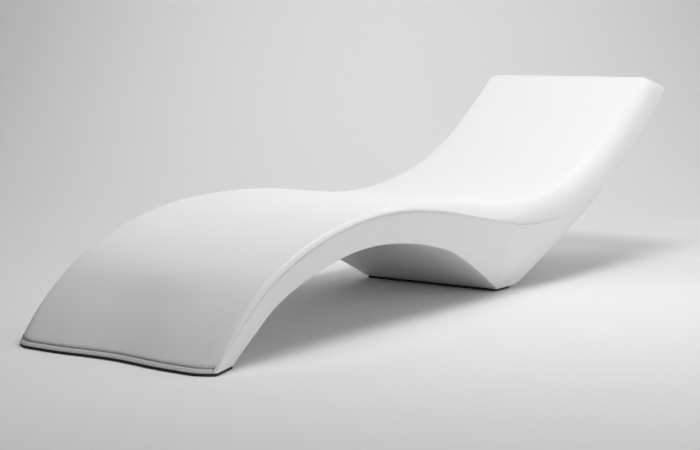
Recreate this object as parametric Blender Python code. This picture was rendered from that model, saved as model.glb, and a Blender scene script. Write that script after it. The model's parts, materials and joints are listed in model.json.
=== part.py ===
"""Sun lounger, in metres, +Z up.

A hollow one-piece plastic moulding runs from the toe on the floor over the knee crest and the seat to the head
end. It stands on two rubber shoes, screwed into moulded-in inserts. A screw plug in its back closes the neck for
ballast, a push-in plug closes the moulding vent, and a pale strip is let into the toe.
The toe points to -X and the head end to +X.
"""
import math

import bmesh
import bpy
from mathutils import Matrix, Vector

# Main sizes of the lounger
LENGTH = 2.474
WIDTH = 0.650
HEIGHT = 0.632
WALL = 0.006

# Clearances and the overrun of every cut
SEAT_GAP = 0.0003
OVERRUN = 0.010
WELD = 0.000002

# Shell edges: the tight turn that ends the rolled edge, the edge under the side, and the head end
TURN_RADIUS = 0.011
LOWER_RADIUS = 0.006
HOLLOW_ROLL = 0.020
HOLLOW_LOWER_RADIUS = 0.010
HEAD_RADIUS = 0.006
HEAD_CORNER_RADIUS = 0.020
FOOT_WALL = 0.010

# The toe's middle is set back in a shallow wave
WAVE_DEPTH = 0.016
WAVE_REACH = 0.200

# Toe strip and its channel
CHANNEL_HEIGHT = 0.019
CHANNEL_DEPTH = 0.008
CHANNEL_END_SETBACK = 0.007
STRIP_TOP_GAP = 0.004
STRIP_END_GAP = 0.002
STRIP_CROWN = 0.0015

# Rubber shoes
SHOE_SHOW = 0.0075
SHOE_INSET = 0.0015
TONGUE_INSET = 0.015
TONGUE_SETBACK = 0.032
TONGUE_HEIGHT = 0.002
SHOE_CORNER_RADIUS = 0.010

# Shoe screws, washers and threaded inserts
SCREW_RADIUS = 0.0030
SCREW_LENGTH = 0.0165
SCREW_HEAD_RADIUS = 0.0050
SCREW_HEAD_HEIGHT = 0.0022
SOCKET_RADIUS = 0.0023
SOCKET_DEPTH = 0.0012
WASHER_RADIUS = 0.0070
WASHER_THICKNESS = 0.0010
COUNTERBORE_RADIUS = 0.0080
COUNTERBORE_DEPTH = 0.0044
INSERT_RADIUS = 0.0055
INSERT_LENGTH = 0.0120
BOSS_RADIUS = 0.0110
BOSS_CAP = 0.0075

# Ballast filler: neck, plug and seal, all sized from the neck's tube
NECK_TUBE_RADIUS = 0.027
NECK_TUBE_WALL = 0.005
NECK_DEPTH = 0.024
NECK_FLANGE_WIDTH = 0.009
NECK_FLANGE_THICKNESS = 0.004
NECK_BOSS_MARGIN = 0.008
THREAD_DEPTH = 0.0012
THREAD_PITCH = 0.006
THREAD_CLEARANCE = 0.0005
PLUG_SHANK = 0.0165
PLUG_HEAD_SETBACK = 0.005
PLUG_HEAD_THICKNESS = 0.0080
PLUG_LIFT = 0.0006
GRIP_BAR = 0.008
GRIP_MARGIN = 0.007
GRIP_DEPTH = 0.005
SEAL_MARGIN = 0.0046
SEAL_SECTION = 0.0012
SEAL_GROOVE_DEPTH = 0.0024

# Vent plug
VENT_HOLE_RADIUS = 0.0050
VENT_HEAD_RADIUS = 0.0085
VENT_HEAD_THICKNESS = 0.0018
VENT_BARB_RADIUS = 0.0057
VENT_BARB_HEIGHT = 0.0025
VENT_BARB_LENGTH = 0.0040

# Ribs of the moulding from toe to head. Each is a section square to the side view: the top line, the crease and
# the lower edge as shares of the length and of the height over the shoes, then the half-width at the lower edge
# and the width of the rolled edge as shares of the half-width.
RIB_SHARES = (
    (0.0000, 0.0000, 0.0137, 0.0000, 0.0485, 0.0000, 0.923, 0.190),
    (0.0540, 0.1939, 0.0578, 0.1801, 0.0816, 0.0919, 0.917, 0.034),
    (0.0903, 0.2962, 0.0931, 0.2807, 0.1120, 0.1733, 0.914, 0.030),
    (0.1343, 0.3792, 0.1360, 0.3606, 0.1516, 0.2404, 0.911, 0.029),
    (0.1825, 0.4411, 0.1835, 0.4223, 0.1940, 0.2891, 0.906, 0.029),
    (0.2387, 0.4854, 0.2391, 0.4660, 0.2445, 0.3299, 0.902, 0.031),
    (0.2951, 0.5059, 0.2951, 0.4840, 0.2971, 0.3427, 0.895, 0.040),
    (0.3517, 0.5105, 0.3513, 0.4776, 0.3496, 0.3283, 0.889, 0.062),
    (0.4082, 0.5002, 0.4070, 0.4521, 0.4022, 0.2947, 0.877, 0.088),
    (0.4648, 0.4752, 0.4632, 0.4113, 0.4588, 0.2348, 0.855, 0.100),
    (0.5174, 0.4497, 0.5174, 0.3690, 0.5214, 0.1222, 0.809, 0.110),
    (0.5618, 0.4377, 0.5639, 0.3419, 0.5812, 0.0000, 0.754, 0.118),
    (0.5901, 0.4377, 0.5942, 0.3299, 0.6183, 0.0000, 0.757, 0.125),
    (0.6265, 0.4465, 0.6354, 0.3243, 0.6528, 0.0495, 0.775, 0.135),
    (0.6710, 0.4744, 0.6859, 0.3331, 0.7053, 0.1494, 0.806, 0.145),
    (0.7195, 0.5200, 0.7397, 0.3698, 0.7599, 0.2540, 0.831, 0.150),
    (0.7720, 0.5950, 0.7983, 0.4521, 0.8165, 0.3610, 0.843, 0.150),
    (0.8246, 0.6981, 0.8577, 0.5703, 0.8711, 0.4776, 0.846, 0.140),
    (0.8812, 0.8355, 0.9184, 0.7196, 0.9297, 0.6518, 0.846, 0.110),
    (0.9437, 0.9925, 0.9919, 0.9430, 0.9992, 0.9365, 0.846, 0.065),
)
HEEL_FRONT_RIB = 11
HEEL_BACK_RIB = 12

# Places of the small fittings: across the half-width, along the foot, and along the ribs
FRONT_SCREW_SHARES = (-0.74, -0.25, 0.25, 0.74)
REAR_SCREW_SHARES = (-0.58, -0.20, 0.20, 0.58)
FOOT_MIDDLE_SHARE = 0.5
NECK_RIB = 14.45
VENT_RIB = 6.2

# Where the hollow starts and ends, and where the toe's wave has died away, in rib numbers
CAVITY_START_RIB = 0.2
CAVITY_END_RIB = 18.93
WAVE_END_RIB = 2
ROUND_START_RIB = 9
ROUND_END_RIB = 13

# Counts of facets
CROWN_STEPS = 4
TURN_STEPS = 3
FLAT_STEPS = 8
EDGE_STEPS = 3
SPAN_STEPS = 3
HEAD_STEPS = 3
HEAD_CORNER_STEPS = 4
SCREW_SIDES = 12
NECK_SIDES = 24
THREAD_SAMPLES = 6

# Values that follow from the sizes above
BASE = SHOE_SHOW + SEAT_GAP
RISE = HEIGHT - BASE
HALF_WIDTH = WIDTH / 2
NECK_BORE_RADIUS = NECK_TUBE_RADIUS - NECK_TUBE_WALL
NECK_FLANGE_RADIUS = NECK_TUBE_RADIUS + NECK_FLANGE_WIDTH
NECK_BOSS_RADIUS = NECK_FLANGE_RADIUS + NECK_BOSS_MARGIN
THREAD_RADIUS = NECK_BORE_RADIUS - THREAD_CLEARANCE
PLUG_HEAD_RADIUS = NECK_FLANGE_RADIUS - PLUG_HEAD_SETBACK
GRIP_RADIUS = PLUG_HEAD_RADIUS - GRIP_MARGIN
SEAL_RADIUS = NECK_BORE_RADIUS + SEAL_MARGIN

# Colours, as linear shades
WHITE_PLASTIC = ("white moulded plastic", (0.80, 0.80, 0.80), 0.45, 0.0)
PALE_PLASTIC = ("pale strip plastic", (0.62, 0.62, 0.62), 0.40, 0.0)
BLACK_RUBBER = ("black rubber", (0.020, 0.020, 0.020), 0.75, 0.0)
BRASS = ("insert brass", (0.60, 0.45, 0.20), 0.35, 1.0)
STEEL = ("screw steel", (0.62, 0.62, 0.60), 0.30, 1.0)
GREY_PLASTIC = ("grey fitting plastic", (0.42, 0.42, 0.42), 0.50, 0.0)


# Small helpers

def material(spec):
    name, colour, roughness, metallic = spec
    found = bpy.data.materials.get(name)
    if found:
        return found
    made = bpy.data.materials.new(name)
    made.use_nodes = True
    shader = made.node_tree.nodes["Principled BSDF"]
    shader.inputs["Base Color"].default_value = (*colour, 1.0)
    shader.inputs["Roughness"].default_value = roughness
    shader.inputs["Metallic"].default_value = metallic
    return made


def object_from(name, bm, spec, smooth_angle=math.radians(35)):
    bmesh.ops.recalc_face_normals(bm, faces=bm.faces[:])
    mesh = bpy.data.meshes.new(name)
    bm.to_mesh(mesh)
    bm.free()
    mesh.materials.append(material(spec))
    mesh.shade_smooth()
    mesh.set_sharp_from_angle(angle=smooth_angle)
    made = bpy.data.objects.new(name, mesh)
    bpy.context.scene.collection.objects.link(made)
    return made


def combine(target, tool, operation):
    """Cut, add or keep the shared part of a tool, and take the tool away."""
    boolean = target.modifiers.new("cut", "BOOLEAN")
    boolean.operation = operation
    boolean.solver = "EXACT"
    boolean.object = tool
    bpy.context.view_layer.update()
    done = target.evaluated_get(bpy.context.evaluated_depsgraph_get())
    mesh = bpy.data.meshes.new_from_object(done)
    old = target.data
    target.modifiers.remove(boolean)
    target.data = mesh
    mesh.name = target.name
    bm = bmesh.new()
    bm.from_mesh(mesh)
    bmesh.ops.remove_doubles(bm, verts=bm.verts[:], dist=WELD)
    bmesh.ops.dissolve_degenerate(bm, edges=bm.edges[:], dist=WELD)
    bm.to_mesh(mesh)
    bm.free()
    bpy.data.meshes.remove(old)
    spare = tool.data
    bpy.data.objects.remove(tool)
    bpy.data.meshes.remove(spare)


def loft(loops, cap_start=True, cap_end=True, closed=False):
    """Join rings of equal count into a skin."""
    bm = bmesh.new()
    rings = [[bm.verts.new(point) for point in ring] for ring in loops]
    count = len(rings[0])
    pairs = list(zip(rings, rings[1:]))
    if closed:
        pairs.append((rings[-1], rings[0]))
    for first, second in pairs:
        for i in range(count):
            j = (i + 1) % count
            bm.faces.new((first[i], first[j], second[j], second[i]))
    if cap_start and not closed:
        bm.faces.new(list(reversed(rings[0])))
    if cap_end and not closed:
        bm.faces.new(rings[-1])
    return bm


def prism(name, outline, low, high, spec):
    """A flat outline in plan, raised between two heights."""
    rings = [[(x, y, height) for x, y in outline] for height in (low, high)]
    return object_from(name, loft(rings), spec)


def box(name, low, high, spec=WHITE_PLASTIC):
    outline = [(low[0], low[1]), (high[0], low[1]), (high[0], high[1]), (low[0], high[1])]
    return prism(name, outline, low[2], high[2], spec)


def turned(name, outline, sides, spec, ring=False):
    """Turn an outline round +Z. The outline is a function of the angle and gives radius and height pairs.
    A ring's outline closes on itself. Any other starts and ends on the axis."""
    bm = bmesh.new()
    ends = outline(0.0)
    foot = None if ring else bm.verts.new((0.0, 0.0, ends[0][1]))
    head = None if ring else bm.verts.new((0.0, 0.0, ends[-1][1]))
    columns = []
    for side in range(sides):
        angle = 2 * math.pi * side / sides
        points = outline(angle)
        inner = points if ring else points[1:-1]
        columns.append([bm.verts.new((r * math.cos(angle), r * math.sin(angle), z)) for r, z in inner])
    for side in range(sides):
        here = columns[side]
        beside = columns[(side + 1) % sides]
        for i in range(len(here) - 1):
            bm.faces.new((here[i], beside[i], beside[i + 1], here[i + 1]))
        if ring:
            bm.faces.new((here[-1], beside[-1], beside[0], here[0]))
        else:
            bm.faces.new((foot, beside[0], here[0]))
            bm.faces.new((head, here[-1], beside[-1]))
    return object_from(name, bm, spec)


def steady(points):
    """An outline that is the same at every angle."""
    return lambda angle: points


def hexagon(radius, angle):
    """Radius of a hexagon with corners at that radius."""
    part = math.radians(60)
    return radius * math.cos(part / 2) / math.cos(angle % part - part / 2)


def blend(points, knots, place, start_slope=None):
    """A smooth curve through rows of values, with slopes taken from the neighbours."""
    rows = len(points)

    def chord(i):
        step = knots[i + 1] - knots[i]
        return [(b - a) / step for a, b in zip(points[i], points[i + 1])]

    def slope(i):
        if 0 < i < rows - 1:
            before = knots[i] - knots[i - 1]
            after = knots[i + 1] - knots[i]
            return [(a * after + b * before) / (before + after) for a, b in zip(chord(i - 1), chord(i))]
        if i == 0 and start_slope is not None:
            return start_slope
        if i == 0:
            return [2 * a - b for a, b in zip(chord(0), slope(1))]
        return [2 * a - b for a, b in zip(chord(rows - 2), slope(rows - 2))]

    span = 0
    while span < rows - 2 and place > knots[span + 1]:
        span += 1
    step = knots[span + 1] - knots[span]
    t = (place - knots[span]) / step
    weights = (2 * t**3 - 3 * t**2 + 1, t**3 - 2 * t**2 + t, 3 * t**2 - 2 * t**3, t**3 - t**2)
    columns = zip(points[span], slope(span), points[span + 1], slope(span + 1))
    return [a * weights[0] + m * step * weights[1] + b * weights[2] + n * step * weights[3] for a, m, b, n in columns]


# The moulding's ribs

def rib_rows():
    rows = []
    for tx, tz, kx, kz, lx, lz, low_half, roll in RIB_SHARES:
        rows.append((tx * LENGTH, BASE + tz * RISE, kx * LENGTH, BASE + kz * RISE, lx * LENGTH, BASE + lz * RISE,
                     low_half * HALF_WIDTH, roll * HALF_WIDTH))
    return rows


RIBS = rib_rows()
KNOTS = [0.0]
for last, following in zip(RIBS, RIBS[1:]):
    KNOTS.append(KNOTS[-1] + math.dist(last[:2], following[:2]))
# The part's middle lies over the origin
MIDDLE = LENGTH / 2


def rib(place):
    """Top, crease and lower edge in the side view, the half-width below and the roll's width, at a rib number."""
    span = min(int(place), len(RIBS) - 2)
    knot = KNOTS[span] + (place - span) * (KNOTS[span + 1] - KNOTS[span])
    tx, tz, kx, kz = blend([row[:4] for row in RIBS], KNOTS, knot)
    low_half, roll = blend([row[6:] for row in RIBS], KNOTS, knot)
    front, back = HEEL_FRONT_RIB, HEEL_BACK_RIB
    if place <= front:
        lx, lz = blend([row[4:6] for row in RIBS[:front + 1]], KNOTS[:front + 1], knot)
    elif place <= back:
        share = (place - front) / (back - front)
        lx = RIBS[front][4] * (1 - share) + RIBS[back][4] * share
        lz = BASE
    else:
        run = (RIBS[back + 1][4] - RIBS[back][4]) / (KNOTS[back + 1] - KNOTS[back])
        lx, lz = blend([row[4:6] for row in RIBS[back:]], KNOTS[back:], knot, (run, 0.0))
    shift = Vector((-MIDDLE, 0.0))
    return Vector((tx, tz)) + shift, Vector((kx, kz)) + shift, Vector((lx, lz)) + shift, low_half, roll


def rolled_edge(place, drop, roll, crown_steps, turn_steps):
    """Places across and depths of the rolled edge, from the flat top: a crown that steepens evenly, then a tight
    turn that ends square to the flat. Up the back, the edge is one even round instead."""
    tight = min(TURN_RADIUS, drop * 0.8, roll * 0.8)
    lean = math.radians(60)
    for _ in range(20):
        run = roll - tight * (1 - math.sin(lean))
        fall = drop - tight * math.cos(lean)
        lean = math.atan2(2 * fall, run)
    points = [(run * i / crown_steps, fall * (i / crown_steps)**2) for i in range(crown_steps + 1)]
    for i in range(1, turn_steps + 1):
        angle = lean + (math.pi / 2 - lean) * i / turn_steps
        points.append((roll - tight * (1 - math.sin(angle)), drop - tight * math.cos(angle)))
    even = min(max((place - ROUND_START_RIB) / (ROUND_END_RIB - ROUND_START_RIB), 0.0), 1.0)
    even = even**2 * (3 - 2 * even)
    for i, (across, depth) in enumerate(points):
        angle = math.pi / 2 * i / (len(points) - 1)
        round_across, round_depth = roll * math.sin(angle), drop * (1 - math.cos(angle))
        points[i] = (across + (round_across - across) * even, depth + (round_depth - depth) * even)
    return points


def head_inset(place):
    """How far the sides draw in round the head end's corners."""
    last = len(RIBS) - 1
    left = (last - place) * (KNOTS[last] - KNOTS[last - 1])
    short = max(0.0, HEAD_CORNER_RADIUS - left)
    return HEAD_CORNER_RADIUS - math.sqrt(HEAD_CORNER_RADIUS**2 - short**2)


def toe_wave(place, across):
    """How far the flat top is set back near the toe, most in the middle."""
    if place >= WAVE_END_RIB or abs(across) >= WAVE_REACH:
        return 0.0
    height = (1 + math.cos(math.pi * across / WAVE_REACH)) / 2
    return WAVE_DEPTH * height * (1 - (place / WAVE_END_RIB)**2)**2


def section(place, crown_steps, turn_steps, edge_steps, least_roll=0.0, lower_radius=LOWER_RADIUS):
    """One closed loop round the moulding: flat top, rolled edge, crease, drawn-in side, rounded lower edge."""
    top, crease, low, low_half, roll = rib(place)
    roll = max(roll, least_roll)
    inset = head_inset(place)
    wide = HALF_WIDTH - inset
    low_half = low_half - inset
    drop = (crease - top).length
    half = []
    for across, depth in rolled_edge(place, drop, roll, crown_steps, turn_steps):
        half.append((top.lerp(crease, depth / drop), wide - roll + across))
    depth = (low - crease).length
    along = (low - crease).normalized()
    side = Vector((low_half - wide, depth)).normalized()
    turn = math.acos(max(-1.0, min(1.0, -side.x)))
    inward = Vector((-side.y, side.x))
    reach = lower_radius * math.tan(turn / 2)
    start = Vector((low_half, depth)) - side * reach
    for i in range(edge_steps + 1):
        angle = turn * i / edge_steps
        point = start + lower_radius * (math.sin(angle) * side + (1 - math.cos(angle)) * inward)
        half.append((crease + along * point.y, point.x))
    loop = [Vector((spot.x, across, spot.y)) for spot, across in half]
    loop += [Vector((spot.x, -across, spot.y)) for spot, across in reversed(half)]
    for i in range(1, FLAT_STEPS):
        across = (wide - roll) * (2 * i / FLAT_STEPS - 1)
        loop.append(Vector((top.x + toe_wave(place, across), across, top.y)))
    return loop


def drawn_in(loop, inset, normal):
    """A flat loop moved inward by an even inset."""
    moved = []
    count = len(loop)
    for i, point in enumerate(loop):
        before = (point - loop[i - 1]).normalized()
        after = (loop[(i + 1) % count] - point).normalized()
        first = normal.cross(before)
        second = normal.cross(after)
        mean = (first + second).normalized()
        moved.append(point - mean * inset / max(mean.dot(first), 0.3))
    return moved


def moulding_skin():
    """The outside of the moulding, from the toe's flat to the rounded head end."""
    last = len(RIBS) - 1
    places = [i / SPAN_STEPS for i in range(last * SPAN_STEPS)]
    corner = HEAD_CORNER_RADIUS / (KNOTS[last] - KNOTS[last - 1])
    for i in range(HEAD_CORNER_STEPS + 1):
        places.append(last - corner * (1 - math.sin(math.pi / 2 * i / HEAD_CORNER_STEPS)))
    loops = [section(place, CROWN_STEPS, TURN_STEPS, EDGE_STEPS) for place in places]
    end = loops[-1]
    top, _, low, _, _ = rib(last)
    rearward = Vector((low.x - top.x, 0.0, low.y - top.y)).normalized()
    outward = Vector((0.0, 1.0, 0.0)).cross(-rearward)
    for i in range(1, HEAD_STEPS + 1):
        angle = math.pi / 2 * i / HEAD_STEPS
        lifted = drawn_in(end, HEAD_RADIUS * (1 - math.cos(angle)), outward)
        loops.append([point + outward * HEAD_RADIUS * math.sin(angle) for point in lifted])
    return loft(loops)


def make_shell():
    shell = object_from("shell", moulding_skin(), WHITE_PLASTIC)
    combine(shell, make_cavity(), "DIFFERENCE")
    combine(shell, toe_channel(), "DIFFERENCE")
    for name, outline in (("front", front_tongue(SEAT_GAP)), ("rear", rear_outline(TONGUE_INSET - SEAT_GAP))):
        recess = prism(name, outline, BASE - OVERRUN, SHOE_SHOW + TONGUE_HEIGHT + SEAT_GAP, WHITE_PLASTIC)
        combine(shell, recess, "DIFFERENCE")
    for x, y in front_screws() + rear_screws():
        pocket = turned("pocket", insert_pocket, SCREW_SIDES, WHITE_PLASTIC)
        pocket.location = (x, y, insert_floor())
        combine(shell, pocket, "DIFFERENCE")
    combine(shell, neck_cutter(), "DIFFERENCE")
    spot, outward = low_face(VENT_RIB)
    hole = turned("hole", steady(rod(VENT_HOLE_RADIUS, -WALL - OVERRUN, OVERRUN)), SCREW_SIDES, WHITE_PLASTIC)
    hole.matrix_world = facing(spot, outward)
    combine(shell, hole, "DIFFERENCE")
    finish(shell)
    return shell


def finish(made, smooth_angle=math.radians(35)):
    """Shading after the cuts."""
    made.data.shade_smooth()
    made.data.set_sharp_from_angle(angle=smooth_angle)


def make_cavity():
    """The hollow inside, one wall behind the skin, with solid feet, bosses and neck seat left standing."""
    places = [CAVITY_START_RIB]
    places += [i / 2 for i in range(1, 2 * (len(RIBS) - 1))]
    places.append(CAVITY_END_RIB)
    cavity = object_from("cavity", loft([hollow_section(place) for place in places]), WHITE_PLASTIC)
    reach = LENGTH
    feet = box("feet", (0.0, -reach, -OVERRUN), (reach, reach, BASE + FOOT_WALL))
    combine(cavity, feet, "DIFFERENCE")
    top = insert_floor() + INSERT_LENGTH + BOSS_CAP
    for x, y in front_screws() + rear_screws():
        boss = turned("boss", steady(rod(BOSS_RADIUS, -OVERRUN, top)), SCREW_SIDES, WHITE_PLASTIC)
        boss.location = (x, y, 0.0)
        combine(cavity, boss, "DIFFERENCE")
    spot, outward = low_face(NECK_RIB)
    seat = turned("seat", steady(rod(NECK_BOSS_RADIUS, -WALL - NECK_FLANGE_THICKNESS, OVERRUN)), NECK_SIDES,
                  WHITE_PLASTIC)
    seat.matrix_world = facing(spot, outward)
    combine(cavity, seat, "DIFFERENCE")
    return cavity


def hollow_section(place):
    """The moulding's section drawn in by the wall, measured square to the top."""
    step = 0.01
    top, _, low, _, _ = rib(place)
    ahead, _, _, _, _ = rib(place + step)
    along = (ahead - top).normalized()
    down = (low - top).normalized()
    inset = WALL / max(abs(along.cross(down)), 0.7)
    onward = Vector((0.0, 1.0, 0.0)).cross(Vector((-down.x, 0.0, -down.y)))
    return drawn_in(section(place, 2, 2, 1, HOLLOW_ROLL, HOLLOW_LOWER_RADIUS), inset, onward)


def rod(radius, low, high):
    return [(0.0, low), (radius, low), (radius, high), (0.0, high)]


def low_face(place):
    """Middle of the underside at a rib number, on its facet, and the way that the facet faces."""
    facet = math.floor(place * SPAN_STEPS)
    _, _, behind, _, _ = rib(facet / SPAN_STEPS)
    _, _, ahead, _, _ = rib((facet + 1) / SPAN_STEPS)
    along = (ahead - behind).normalized()
    low = behind.lerp(ahead, place * SPAN_STEPS - facet)
    return Vector((low.x, 0.0, low.y)), Vector((along.y, 0.0, -along.x))


def facing(spot, outward):
    """A placement whose +Z is the given direction, turned by half a facet so that no facet edge lies level."""
    across = Vector((0.0, 1.0, 0.0))
    along = across.cross(outward)
    turn = Matrix((along, across, outward)).transposed().to_4x4()
    return Matrix.Translation(spot) @ turn @ Matrix.Rotation(math.pi / NECK_SIDES, 4, "Z")


# Toe strip and its channel

def toe_line(reach):
    """The toe's plan, as places across and how far each lies back, from side to side within a reach."""
    top, crease, _, _, roll = rib(0.0)
    drop = (crease - top).length
    flat = HALF_WIDTH - roll
    side = [(flat * i / 4, toe_wave(0.0, flat * i / 4)) for i in range(4)]
    side += [(flat + across, depth) for across, depth in rolled_edge(0.0, drop, roll, CROWN_STEPS, TURN_STEPS)]
    inside = [spot for spot in side if spot[0] < reach]
    before, after = inside[-1], side[len(inside)]
    share = (reach - before[0]) / (after[0] - before[0])
    inside.append((reach, before[1] + share * (after[1] - before[1])))
    return [(-across, back) for across, back in reversed(inside[1:])] + inside


def toe_shape(outline, reach):
    """A small outline in the toe's side view, drawn along the toe's plan."""
    start = rib(0.0)[0].x
    loops = []
    for across, back in toe_line(reach):
        loops.append([(start + back + x, across, BASE + z) for x, z in outline])
    return loft(loops)


def face_point(rise, depth):
    """A point measured up the toe's slope and in from its face, from the toe's tip."""
    top, _, _, _, _ = rib(0.0)
    above, _, _, _, _ = rib(1 / SPAN_STEPS)
    slope = (above - top).normalized()
    return slope.x * rise + slope.y * depth, slope.y * rise - slope.x * depth


def toe_channel():
    under = -OVERRUN
    outline = [face_point(under, -OVERRUN), face_point(CHANNEL_HEIGHT, -OVERRUN),
               face_point(CHANNEL_HEIGHT, CHANNEL_DEPTH), face_point(under, CHANNEL_DEPTH)]
    return object_from("channel", toe_shape(outline, HALF_WIDTH - CHANNEL_END_SETBACK), WHITE_PLASTIC)


def make_toe_strip():
    """A crowned strip that stands in the channel, short of its top and its ends."""
    rise = CHANNEL_HEIGHT - STRIP_TOP_GAP
    back = CHANNEL_DEPTH - SEAT_GAP
    top, _, _, _, _ = rib(0.0)
    above, _, _, _, _ = rib(1 / SPAN_STEPS)
    slope = (above - top).normalized()
    outline = [(back / slope.y, 0.0), face_point(rise, back)]
    steps = 5
    for i in range(steps + 1):
        share = i / steps
        proud = STRIP_CROWN * (4 * share * (1 - share)) - STRIP_CROWN
        outline.append(face_point(rise * (1 - share), -proud))
    outline[-1] = (face_point(0.0, STRIP_CROWN)[0], 0.0)
    strip = object_from("toe_strip", toe_shape(outline, HALF_WIDTH - CHANNEL_END_SETBACK - STRIP_END_GAP),
                        PALE_PLASTIC)
    return strip


# Feet: outlines, screws and shoes

def filleted(corners, radii, steps=4):
    """Round the corners of an outline that runs anticlockwise."""
    rounded = []
    count = len(corners)
    for i, corner in enumerate(corners):
        corner = Vector(corner)
        before = (corner - Vector(corners[i - 1])).normalized()
        after = (Vector(corners[(i + 1) % count]) - corner).normalized()
        turn = before.angle(after)
        if radii[i] <= 0:
            rounded.append(tuple(corner))
            continue
        start = corner - before * radii[i] * math.tan(turn / 2)
        left = Vector((-before.y, before.x))
        for j in range(steps + 1):
            angle = turn * j / steps
            rounded.append(tuple(start + radii[i] * (math.sin(angle) * before + (1 - math.cos(angle)) * left)))
    return rounded


def shrunk(corners, inset):
    """Move every side of an anticlockwise outline inward."""
    flat = [Vector((x, y, 0.0)) for x, y in corners]
    return [(point.x, point.y) for point in drawn_in(flat, inset, Vector((0.0, 0.0, -1.0)))]


def front_outline(inset):
    """The toe's flat underside, drawn in."""
    loop = drawn_in(section(0.0, CROWN_STEPS, TURN_STEPS, EDGE_STEPS), inset, Vector((0.0, 0.0, 1.0)))
    return [(point.x, point.y) for point in loop]


def front_tongue(clearance):
    """The locating tongue's plan, behind the strip's channel."""
    top, _, low, low_half, _ = rib(0.0)
    front, back = top.x + TONGUE_SETBACK, low.x - TONGUE_INSET
    corners = [(front, TONGUE_INSET - HALF_WIDTH), (back, TONGUE_INSET - low_half),
               (back, low_half - TONGUE_INSET), (front, HALF_WIDTH - TONGUE_INSET)]
    return filleted(shrunk(corners, -clearance), (SHOE_CORNER_RADIUS,) * 4)


def rear_outline(inset):
    _, _, front, half, _ = rib(HEEL_FRONT_RIB)
    _, _, back, _, _ = rib(HEEL_BACK_RIB)
    reach = half - LOWER_RADIUS
    corners = [(front.x, -reach), (back.x, -reach), (back.x, reach), (front.x, reach)]
    corner = max(SHOE_CORNER_RADIUS - inset, SHOE_INSET)
    return filleted(shrunk(corners, inset), (corner,) * 4)


def front_screws():
    top, _, low, _, _ = rib(0.0)
    x = top.x + (low.x - top.x) * FOOT_MIDDLE_SHARE
    return [(x, share * HALF_WIDTH) for share in FRONT_SCREW_SHARES]


def rear_screws():
    _, _, front, _, _ = rib(HEEL_FRONT_RIB)
    _, _, back, _, _ = rib(HEEL_BACK_RIB)
    x = front.x + (back.x - front.x) * FOOT_MIDDLE_SHARE
    return [(x, share * HALF_WIDTH) for share in REAR_SCREW_SHARES]


def insert_floor():
    """Where the inserts start: on the roof of the tongue's recess."""
    return SHOE_SHOW + TONGUE_HEIGHT + 2 * SEAT_GAP


def insert_pocket(angle):
    radius = hexagon(INSERT_RADIUS + SEAT_GAP, angle)
    return [(0.0, -OVERRUN), (radius, -OVERRUN), (radius, INSERT_LENGTH + SEAT_GAP), (0.0, INSERT_LENGTH + SEAT_GAP)]


def make_insert(name, x, y):
    bore = SCREW_RADIUS + SEAT_GAP

    def outline(angle):
        outer = hexagon(INSERT_RADIUS, angle)
        return [(bore, 0.0), (outer, 0.0), (outer, INSERT_LENGTH), (bore, INSERT_LENGTH)]

    insert = turned(name, outline, SCREW_SIDES, BRASS, ring=True)
    insert.location = (x, y, insert_floor())
    return insert


def make_washer(name, x, y):
    hole = SCREW_RADIUS + SEAT_GAP
    low = -SEAT_GAP - WASHER_THICKNESS
    outline = [(hole, low), (WASHER_RADIUS, low), (WASHER_RADIUS, -SEAT_GAP), (hole, -SEAT_GAP)]
    washer = turned(name, steady(outline), SCREW_SIDES, STEEL, ring=True)
    washer.location = (x, y, COUNTERBORE_DEPTH)
    return washer


def make_screw(name, x, y):
    """A low round head with a hexagon socket, head down, under its washer."""
    seat = -2 * SEAT_GAP - WASHER_THICKNESS
    foot = seat - SCREW_HEAD_HEIGHT
    edge = SCREW_HEAD_HEIGHT * 0.35

    def outline(angle):
        socket = hexagon(SOCKET_RADIUS, angle)
        return [(0.0, foot + SOCKET_DEPTH), (socket, foot + SOCKET_DEPTH), (socket, foot),
                (SCREW_HEAD_RADIUS * 0.75, foot), (SCREW_HEAD_RADIUS, foot + edge), (SCREW_HEAD_RADIUS, seat),
                (SCREW_RADIUS, seat), (SCREW_RADIUS, seat + SCREW_LENGTH), (0.0, seat + SCREW_LENGTH)]

    screw = turned(name, outline, SCREW_SIDES, STEEL)
    screw.location = (x, y, COUNTERBORE_DEPTH)
    return screw


def make_shoe(name, plan, tongue, screws):
    shoe = prism(name, plan, 0.0, SHOE_SHOW, BLACK_RUBBER)
    ridge = prism("ridge", tongue, SHOE_SHOW / 2, SHOE_SHOW + TONGUE_HEIGHT, BLACK_RUBBER)
    combine(shoe, ridge, "UNION")
    for x, y in screws:
        hole = SCREW_RADIUS + SEAT_GAP
        outline = [(0.0, -OVERRUN), (COUNTERBORE_RADIUS, -OVERRUN), (COUNTERBORE_RADIUS, 0.0), (hole, 0.0),
                   (hole, OVERRUN), (0.0, OVERRUN)]
        sink = turned("sink", steady(outline), SCREW_SIDES, BLACK_RUBBER)
        sink.location = (x, y, COUNTERBORE_DEPTH)
        combine(shoe, sink, "DIFFERENCE")
    finish(shoe)
    return shoe


# Ballast filler

def thread_wave(angle, height):
    """A rounded single-start thread: the share of its depth at an angle and a height."""
    return 0.5 + 0.5 * math.cos(2 * math.pi * (height / THREAD_PITCH) - angle)


def fade(height, low, high):
    """One between two heights, falling to zero within a quarter pitch of each."""
    run = THREAD_PITCH / 4
    return max(0.0, min(1.0, (height - low) / run, (high - height) / run))


def thread_heights(low, high):
    count = round((high - low) / THREAD_PITCH * THREAD_SAMPLES)
    return [low + (high - low) * i / count for i in range(count + 1)]


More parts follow.
